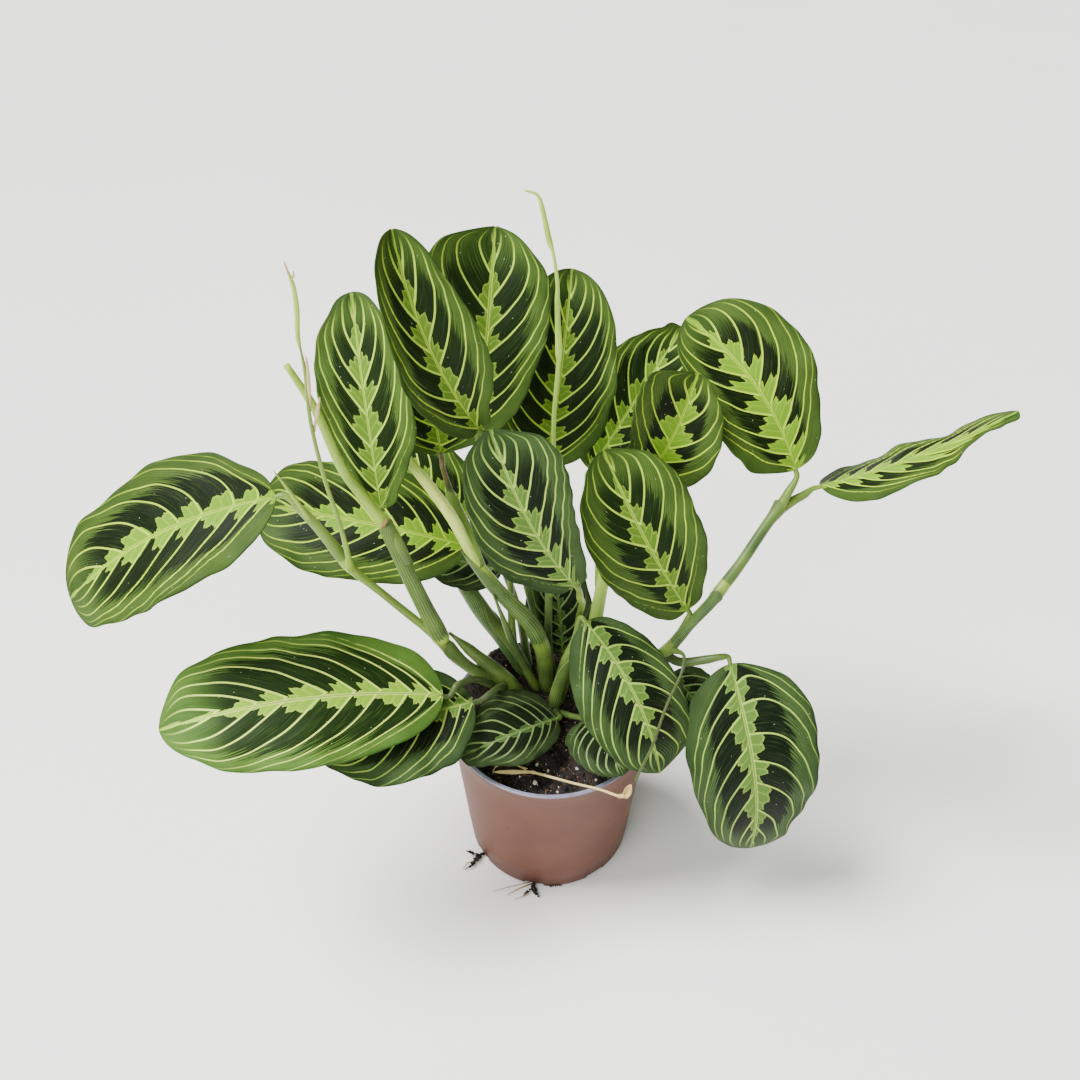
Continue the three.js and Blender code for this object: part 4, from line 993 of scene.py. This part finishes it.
def plain_material(finish):
    """Makes one of the finishes of two colours"""
    made, tree, output = new_material(finish.name)
    share = add(tree, "TexNoise", {"Vector": add(tree, "TexCoord", out=3),
                                   "Scale": 1 / (finish.size * MM), "Detail": finish.detail})
    inputs = {"Roughness": finish.roughness}
    if finish.bump:
        strength, depth = finish.bump
        inputs["Normal"] = add(tree, "Bump", {"Height": share, "Strength": strength,
                                              "Distance": depth * MM})
    if finish.mapped:
        share = add(tree, "MapRange", [share, *finish.mapped])
    first, second = map(linear, finish.colours)
    inputs["Base Color"] = add(tree, "Mix", {0: share, 6: first, 7: second}, **IN_COLOUR)
    finish_material(tree, output, inputs)
    return made


MAKERS = {"back": leaf_back_material, "stem": stem_material, "sheath": sheath_material,
          "straw": straw_material, "pot_outside": pot_outside_material, "peat": peat_material}
MATERIALS = {}


def material(name):
    """Each finish is made once, when a piece first asks for it"""
    if name not in MATERIALS:
        if name in TONES:
            MATERIALS[name] = leaf_top_material(name)
        elif name in FINISHES:
            MATERIALS[name] = plain_material(FINISHES[name])
        else:
            MATERIALS[name] = MAKERS[name]()
    return MATERIALS[name]


def outer_radius(height):
    """The pot's outer radius in mm below the lip"""
    return BASE_RADIUS + (RIM_RADIUS - LIP_PROUD - BASE_RADIUS) * height / (POT_HEIGHT - LIP_HEIGHT)


def slot_angle(index):
    """The angle of one of the slots round the pot's foot"""
    return math.radians(SLOT_FIRST_ANGLE) + 2 * math.pi * index / SLOT_COUNT


def soil_height(x, y):
    """Height of the soil's surface in mm"""
    away = (x - MOUND_X) ** 2 + (y - MOUND_Y) ** 2
    mound = MOUND_HEIGHT * math.exp(-away / (2 * MOUND_SPREAD ** 2))
    lumps = SOIL_LUMP * sum(math.sin(a * x + b * y + phase) for a, b, phase in LUMP_WAVES)
    edge = smooth(math.hypot(x, y), SOIL_RADIUS - SOIL_EDGE_WIDTH, SOIL_RADIUS)
    return SOIL_LEVEL + mound * (1 - MOUND_EDGE_DROP * edge) + lumps * (1 - edge)


def crumbled(x, y, depth, rise=0):
    """A point on the soil with its crumbs, or above it"""
    crumbs = sum(share * noise.noise(Vector((x, y, at)) * rate) for rate, share, at in CRUMBLE)
    return Vector((x, y, soil_height(x, y) + depth * crumbs + rise))


def petiole_end(leaf):
    """The last stretch of a petiole, bent in line with the blade that it carries"""
    point, facing, tangent = blade_point(leaf, 0, 0)
    middle = point - facing * RIB_RADIUS
    start = middle - tangent * PULVINUS_LENGTH
    end = middle + tangent * PULVINUS_REACH
    return [(*start, PULVINUS_RADIUS), (*end, PULVINUS_END)]


def crumb(bm, place, size, draw):
    """A rough crumb at a place in mm: a small ball, turned, flattened and dented at random"""
    turn = Matrix.Rotation(draw.uniform(0, 6), 4, Vector((draw.random(), draw.random(), 1)))
    depth, height = (size * draw.uniform(*span) for span in (CRUMB_DEPTHS, CRUMB_HEIGHTS))
    matrix = Matrix.Scale(MM, 4) @ Matrix.Translation(place) @ turn
    matrix = matrix @ Matrix.Diagonal((size, depth, height, 1))
    for vert in bmesh.ops.create_icosphere(bm, subdivisions=1, radius=1, matrix=matrix)["verts"]:
        vert.co += stray(draw) * CRUMB_DENT * size * MM


class PlantLooks(bpy.types.PropertyGroup):
    """Sizes of the foliage's fine detail"""
    blade_step: FloatProperty(
        name="Blade step", description="Distance between the rows of a blade",
        default=1.3 * MM, min=0.4 * MM, unit="LENGTH")
    blade_columns: IntProperty(
        name="Blade columns", description="Faces across a blade", default=36, min=4)
    stem_sides: IntProperty(
        name="Stem sides", description="Faces round a stem", default=18, min=6)
    quilt: FloatProperty(
        name="Quilt", description="How far the blade swells between its side veins",
        default=0.4 * MM, unit="LENGTH")


class PotLooks(bpy.types.PropertyGroup):
    """Sizes and colours of the pot and the soil"""
    sides: IntProperty(name="Pot sides", description="Faces round the pot", default=144, min=24)
    wall_colour: FloatVectorProperty(
        name="Wall colour", description="The plastic of the pot's wall",
        default=linear("#5c3629"), size=4, min=0, max=1, subtype="COLOR")
    wall_clouds: FloatVectorProperty(
        name="Wall clouds", description="The paler clouds in the pot's wall",
        default=linear("#694335"), size=4, min=0, max=1, subtype="COLOR")
    crumb: FloatProperty(
        name="Crumb", description="How rough the soil is", default=1.3 * MM, unit="LENGTH")
    crumbs: IntProperty(name="Crumbs", description="Loose crumbs on the soil", default=1500)
    perlite: IntProperty(name="Perlite", description="Perlite grains on the soil", default=170)
    flecks: IntProperty(name="Flecks", description="Brown bark flecks on the soil", default=1200)
    fibres: IntProperty(name="Fibres", description="Fibres on the soil", default=260)


class StageLooks(bpy.types.PropertyGroup):
    """The camera, the floor and the light"""
    camera_place: FloatVectorProperty(
        name="Camera place", description="Where the camera stands",
        default=(-0.006, -0.382, 0.576), unit="LENGTH")
    camera_pitch: FloatProperty(
        name="Camera pitch", description="How far the camera looks down",
        default=math.radians(41), unit="ROTATION")
    lens: FloatProperty(
        name="Lens", description="Focal length on a 36 mm wide sensor in mm",
        default=FOCAL_PIXELS / FRAME_PIXELS * SENSOR_WIDTH)
    lamp: FloatProperty(
        name="Ceiling lamp", description="Strength of the lamp in W/m2", default=8.5)
    lamp_width: FloatProperty(
        name="Lamp width", description="How wide the lamp looks from the plant",
        default=math.radians(28), unit="ROTATION")
    panel: FloatProperty(
        name="Front panel", description="Power of the panel in watts", default=22)
    world: FloatProperty(
        name="Room light", description="Strength of the light all round", default=0.3)


def build_blade(leaf, index, looks):
    """One blade with its pattern, its waves and its thickness"""
    length = (Vector(leaf.tip) - Vector(leaf.base)).length
    rows = max(LEAST_ROWS, round(length * MM / looks.blade_step))

    def spot(u, v):
        """Shares of the blade along it, with closer rows at its two ends, and across it"""
        return 0.5 - 0.5 * math.cos(math.pi * v), 1 - 2 * u

    def place(u, v):
        along, across = spot(u, v)
        point, facing, _ = blade_point(leaf, along, across)
        reach, ends = abs(across), math.sin(math.pi * along)
        swell = math.cos(2 * math.pi * vein_phase(leaf, along, across)) * 4 * reach * (1 - reach)
        ripple = math.sin(RIPPLE_COUNT * math.pi * along + index + RIPPLE_SHIFT * (across < 0))
        lift = RIPPLE_DEPTH * reach ** 3 * ripple
        return point + facing * (lift - looks.quilt / MM * swell) * ends

    def veins(u, v):
        along, across = spot(u, v)
        phase = BLADE_SEED_STEP * index + vein_phase(leaf, along, across)
        return phase, vein_gap(leaf, along, across)

    def marks(u, v):
        along, across = spot(u, v)
        reach = abs(across)
        outside = 1 - smooth(vein_start(leaf, along, across), *BLOTCH_BEGINS)
        return (reach * half_width(leaf, along, across) / band_width(leaf, along),
                reach / leaf.reach + outside)

    bm = bmesh.new()
    patch(bm, looks.blade_columns, rows, place,
          {"blade": lambda u, v: spot(u, v)[::-1], "veins": veins, "marks": marks})
    piece = to_object(leaf.name + "_blade", bm, leaf.tone, "back", "stem")
    thicken(piece, BLADE_THICKNESS, back=1)
    return piece


def build_rib(leaf):
    """The raised midrib on the underside of a blade"""
    points = []
    for step in range(RIB_STEPS + 1):
        along = step / RIB_STEPS * RIB_END
        point, facing, _ = blade_point(leaf, along, 0)
        radius = RIB_RADIUS * (1 - RIB_TAPER * along)
        points.append((*(point - facing * (BLADE_THICKNESS + RIB_SINK * radius)), radius))
    bm = bmesh.new()
    tube(bm, Path(points, pale=(0.5, 0.8)), sides=8, steps=3)
    return to_object(leaf.name + "_rib", bm, "stem")


class PLANT_OT_leaves(bpy.types.Operator):
    """Builds every leaf blade with its veins, its rib and its pale underside"""
    bl_idname = "plant.leaves"
    bl_label = "Leaves"

    def execute(self, context):
        for index, leaf in enumerate(LEAVES):
            seat(build_blade(leaf, index, context.scene.plant_looks), "leaf", leaf.name)
            seat(build_rib(leaf), "leaf")
        return {"FINISHED"}


class PLANT_OT_shoots(bpy.types.Operator):
    """Builds the jointed stems, sheaths, petioles and old flower stalks"""
    bl_idname = "plant.shoots"
    bl_label = "Shoots"

    def execute(self, context):
        ends = {leaf.name: petiole_end(leaf) for leaf in LEAVES}
        for name, paths in SHOOTS.items():
            paths = [replace(path, points=path.points + ends.get(path.blade, [])) for path in paths]
            bm = bmesh.new()
            for path in paths:
                tube(bm, path, context.scene.plant_looks.stem_sides, material_index=int(path.dry))
            seat(to_object(name + "_stems", bm, "stem", "straw"), "stem", name)
            if name in SHEATHS:
                bm = bmesh.new()
                for wrap in SHEATHS[name]:
                    sleeve(bm, paths[wrap.path], wrap)
                sheaths = to_object(name + "_sheaths", bm, "sheath")
                thicken(sheaths, SHEATH_THICKNESS, offset=1)
                seat(sheaths, "stem")
        return {"FINISHED"}


class PLANT_OT_dry_stalk(bpy.types.Operator):
    """Builds the dead flower stalk that lies over the rim"""
    bl_idname = "plant.dry_stalk"
    bl_label = "Dry stalk"

    def execute(self, context):
        bm = bmesh.new()
        for path in DRY_STALK:
            tube(bm, path, sides=12, steps=8)
        seat(to_object("dry_stalk_straw", bm, "straw"), "straw", "dry_stalk")
        bm = bmesh.new()
        sleeve(bm, DRY_HUSK, HUSK_WRAP)
        husk = to_object("dry_stalk_husk", bm, "straw")
        thicken(husk, SHEATH_THICKNESS)
        seat(husk, "straw")
        return {"FINISHED"}


class PLANT_OT_roots(bpy.types.Operator):
    """Builds the crumbs of peat and the dead roots that hang out of two slots"""
    bl_idname = "plant.roots"
    bl_label = "Roots"

    def execute(self, context):
        for seed, (name, (slot, strands, roots)) in enumerate(ROOT_TUFTS.items()):
            draw = random.Random(TUFT_SEED + seed)
            turn = Matrix.Rotation(slot_angle(slot), 3, "Z")
            bm = bmesh.new()
            for strand in strands:
                points = [turn @ Vector(point[:3]) for point in strand]
                spans = len(points) - 1
                count = TUFT_CRUMBS * spans
                for number in range(count + 1):
                    first = min(int(number / count * spans), spans - 1)
                    weight = number / count * spans - first
                    radius = strand[first][3] * (1 - weight) + strand[first + 1][3] * weight
                    spot = curve_point(points, number / count) + stray(draw) * radius * TUFT_STRAY
                    size = radius * draw.uniform(*TUFT_SIZES)
                    spot.z = max(spot.z, TUFT_CLEARANCE * size)
                    crumb(bm, spot, size, draw)
            seat(to_object(name + "_peat", bm, "peat"), "root", name)
            bm = bmesh.new()
            for points in roots:
                tube(bm, Path(points), sides=8, steps=5)
            seat(to_object(name + "_roots", bm, "root"), "root")
        return {"FINISHED"}


class PLANT_OT_pot(bpy.types.Operator):
    """Spins the pot's wall and lip, and cuts the slots at its foot and the drain holes"""
    bl_idname = "plant.pot"
    bl_label = "Pot"

    def execute(self, context):
        lip_bottom = POT_HEIGHT - LIP_HEIGHT
        inner_lip = RIM_RADIUS - LIP_DEPTH
        profile = [(0, 0), (BASE_RADIUS - FOOT_CHAMFER, 0), (BASE_RADIUS, FOOT_CHAMFER)]
        profile += [(outer_radius(height), height) for height in (*WALL_RINGS, lip_bottom)]
        profile.append((RIM_RADIUS, lip_bottom + LIP_ROUND))
        corners = [(RIM_RADIUS - LIP_ROUND, 0), (inner_lip + LIP_ROUND, math.pi / 2)]
        for centre, start in corners:
            for step in range(LIP_STEPS + 1):
                out, up = polar(LIP_ROUND, start + math.pi / 2 / LIP_STEPS * step)
                profile.append((centre + out, POT_HEIGHT - LIP_ROUND + up))
        profile += [(inner_lip - INNER_LIP_STEP, POT_HEIGHT - INNER_LIP_HEIGHT),
                    (BASE_RADIUS - WALL, FLOOR_THICKNESS), (0, FLOOR_THICKNESS)]
        bm = bmesh.new()
        verts = [bm.verts.new(Vector((radius, 0, height)) * MM) for radius, height in profile]
        edges = [bm.edges.new(pair) for pair in zip(verts, verts[1:])]
        bmesh.ops.spin(bm, geom=verts + edges, axis=(0, 0, 1), cent=(0, 0, 0), angle=2 * math.pi,
                       steps=context.scene.pot_looks.sides, use_merge=True)
        bmesh.ops.remove_doubles(bm, verts=bm.verts[:], dist=MERGE)
        bmesh.ops.recalc_face_normals(bm, faces=bm.faces[:])
        for face in bm.faces:
            centre = face.calc_center_median() / MM
            above = centre.z > POT_HEIGHT - LIP_ROUND
            inward = face.normal.x * centre.x + face.normal.y * centre.y < 0
            face.material_index = int(above or (inward and centre.z > FLOOR_THICKNESS))
            face.smooth = abs(face.normal.z) < LEVEL
        piece = to_object("pot_wall", bm, "pot_outside", "pot_inside")

        cuts = bmesh.new()
        for index in range(SLOT_COUNT):
            turn = Matrix.Rotation(slot_angle(index), 4, "Z")
            size = Matrix.Diagonal((SLOT_DEPTH * 2, SLOT_WIDTH, SLOT_HEIGHT * 2, 1))
            at = Matrix.Translation((BASE_RADIUS + SLOT_SHIFT, 0, 0))
            bmesh.ops.create_cube(cuts, size=1, matrix=Matrix.Scale(MM, 4) @ turn @ at @ size)
        for index in range(DRAIN_COUNT):
            spot = polar(DRAIN_RING, 2 * math.pi * (index + 0.5) / DRAIN_COUNT)
            bmesh.ops.create_cone(cuts, cap_ends=True, segments=DRAIN_SIDES, radius1=DRAIN_RADIUS,
                                  radius2=DRAIN_RADIUS, depth=4 * FLOOR_THICKNESS,
                                  matrix=Matrix.Scale(MM, 4) @ Matrix.Translation((*spot, 0)))
        cutter = to_object("pot_cutter", cuts)
        hollow = piece.modifiers.new("Slots", "BOOLEAN")
        hollow.operation = "DIFFERENCE"
        hollow.object = cutter
        hollow.solver = "EXACT"
        shape = piece.evaluated_get(context.evaluated_depsgraph_get())
        cut_mesh = bpy.data.meshes.new_from_object(shape)
        piece.modifiers.clear()
        piece.data = cut_mesh
        bpy.data.objects.remove(cutter)
        seat(piece, "pot", "pot")
        return {"FINISHED"}


class PLANT_OT_soil(bpy.types.Operator):
    """Builds the soil's crumbled surface with loose crumbs, perlite and fibres"""
    bl_idname = "plant.soil"
    bl_label = "Soil"

    def execute(self, context):
        looks = context.scene.pot_looks
        depth = looks.crumb / MM

        def place(u, v):
            """The surface from the middle out, then the side down, then the bottom back in"""
            angle = 2 * math.pi * u
            if v <= SOIL_TOP_SHARE:
                return crumbled(*polar(SOIL_RADIUS * v / SOIL_TOP_SHARE, angle), depth)
            down = 2 * (v - SOIL_TOP_SHARE) / (1 - SOIL_TOP_SHARE)
            radius = SOIL_RADIUS + (SOIL_BOTTOM_RADIUS - SOIL_RADIUS) * min(1, down)
            height = SOIL_LEVEL - SOIL_EDGE_DEPTH
            height += (SOIL_BOTTOM - height) * min(1, down)
            return Vector((*polar(radius * (1 - max(0, down - 1)), angle), height))

        bm = bmesh.new()
        patch(bm, SOIL_SECTORS, SOIL_RINGS, place, {})
        bmesh.ops.remove_doubles(bm, verts=bm.verts[:], dist=MERGE)
        bmesh.ops.recalc_face_normals(bm, faces=bm.faces[:])
        seat(to_object("soil_top", bm, "peat"), "soil", "soil")

        # Bits that lie on a spiral: how many, their least and most size in mm, their finish and the
        # ones whose places are listed
        scattered = (("soil_crumbs", looks.crumbs, 0.5, 1.5, "peat", []),
                     ("soil_flecks", looks.flecks, 0.25, 0.8, "fibre", []),
                     ("soil_perlite", looks.perlite, 0.25, 0.9, "perlite", LARGE_GRAINS))
        for seed, (name, count, least, most, finish, placed) in enumerate(scattered):
            draw = random.Random(seed)
            bm = bmesh.new()
            for number in range(count):
                radius = (SOIL_RADIUS - LOOSE_MARGIN) * math.sqrt((number + 0.5) / count)
                angle = number * GOLDEN_TURN + draw.uniform(-LOOSE_TURN, LOOSE_TURN)
                size = least + (most - least) * draw.random() ** 2
                spot = crumbled(*polar(radius, angle), depth, LOOSE_RISE * size)
                crumb(bm, spot, size, draw)
            for x, y, size in placed:
                crumb(bm, crumbled(x, y, depth, PLACED_RISE * size), size, draw)
            seat(to_object(name, bm, finish), "soil")

        draw = random.Random(FIBRE_SEED)
        bm = bmesh.new()
        for number in range(looks.fibres):
            radius = (SOIL_RADIUS - FIBRE_MARGIN) * math.sqrt((number + 0.5) / looks.fibres)
            middle = Vector(polar(radius, number * GOLDEN_TURN))
            way = draw.uniform(0, math.pi)
            reach = draw.uniform(*FIBRE_REACH)
            points = []
            for step in FIBRE_STEPS:
                x, y = (at + draw.uniform(-FIBRE_STRAY, FIBRE_STRAY)
                        for at in middle + Vector(polar(reach * step, way)))
                rise = draw.uniform(0, FIBRE_RISE)
                points.append((*crumbled(x, y, depth, rise), FIBRE_RADIUS))
            tube(bm, Path(points), sides=5, steps=2)
        seat(to_object("soil_fibres", bm, "fibre"), "soil")
        return {"FINISHED"}


class PLANT_OT_stage(bpy.types.Operator):
    """Sets up the floor, the light and the camera"""
    bl_idname = "plant.stage"
    bl_label = "Stage"

    def execute(self, context):
        looks = context.scene.stage_looks
        bm = bmesh.new()
        bmesh.ops.create_grid(bm, x_segments=1, y_segments=1, size=FLOOR_HALF)
        floor = to_object("floor", bm, "floor")

        camera = bpy.data.cameras.new("camera")
        camera.sensor_width = SENSOR_WIDTH
        camera.lens = looks.lens
        view = bpy.data.objects.new("camera", camera)
        view.location = looks.camera_place
        view.rotation_euler = (math.pi / 2 - looks.camera_pitch, 0, 0)
        context.collection.objects.link(view)
        context.scene.camera = view

        # A ceiling lamp up on the left gives the soft shadow on the right, and a large panel in
        # front fills the leaves' faces
        sun = bpy.data.lights.new("ceiling lamp", "SUN")
        sun.energy = looks.lamp
        sun.angle = looks.lamp_width
        panel = bpy.data.lights.new("front panel", "AREA")
        panel.size = PANEL_SIZE
        panel.energy = looks.panel
        for light, place in ((sun, LAMP_PLACE), (panel, PANEL_PLACE)):
            lamp = bpy.data.objects.new(light.name, light)
            lamp.location = place
            aim = Vector(LIGHTS_AIM) - Vector(place)
            lamp.rotation_euler = aim.to_track_quat("-Z", "Y").to_euler()
            context.collection.objects.link(lamp)
        world = bpy.data.worlds.new("room")
        world.use_nodes = True
        background = world.node_tree.nodes["Background"]
        background.inputs["Color"].default_value = linear("#f4f5f7")
        background.inputs["Strength"].default_value = looks.world
        context.scene.world = world
        return {"FINISHED"}


class PLANT_PT_panel(bpy.types.Panel):
    """Lists the pieces in the order in which they are built"""
    bl_idname = "PLANT_PT_panel"
    bl_label = "Prayer plant"
    bl_space_type = "VIEW_3D"
    bl_region_type = "UI"
    bl_category = "Prayer plant"

    def draw(self, context):
        for name, group in GROUPS.items():
            for detail in group.__annotations__:
                self.layout.prop(getattr(context.scene, name), detail)
        for operator in OPERATORS:
            self.layout.operator(operator.bl_idname)


OPERATORS = (PLANT_OT_stage, PLANT_OT_pot, PLANT_OT_soil, PLANT_OT_shoots, PLANT_OT_dry_stalk,
             PLANT_OT_roots, PLANT_OT_leaves)
GROUPS = {"plant_looks": PlantLooks, "pot_looks": PotLooks, "stage_looks": StageLooks}


def register():
    for name, group in GROUPS.items():
        bpy.utils.register_class(group)
        setattr(bpy.types.Scene, name, PointerProperty(type=group))
    for cls in (*OPERATORS, PLANT_PT_panel):
        bpy.utils.register_class(cls)


def unregister():
    for cls in (PLANT_PT_panel, *reversed(OPERATORS)):
        bpy.utils.unregister_class(cls)
    for name, group in GROUPS.items():
        delattr(bpy.types.Scene, name)
        bpy.utils.unregister_class(group)


def main():
    register()
    for operator in OPERATORS:
        group, name = operator.bl_idname.split(".")
        getattr(getattr(bpy.ops, group), name)()


if __name__ == "__main__":
    main()
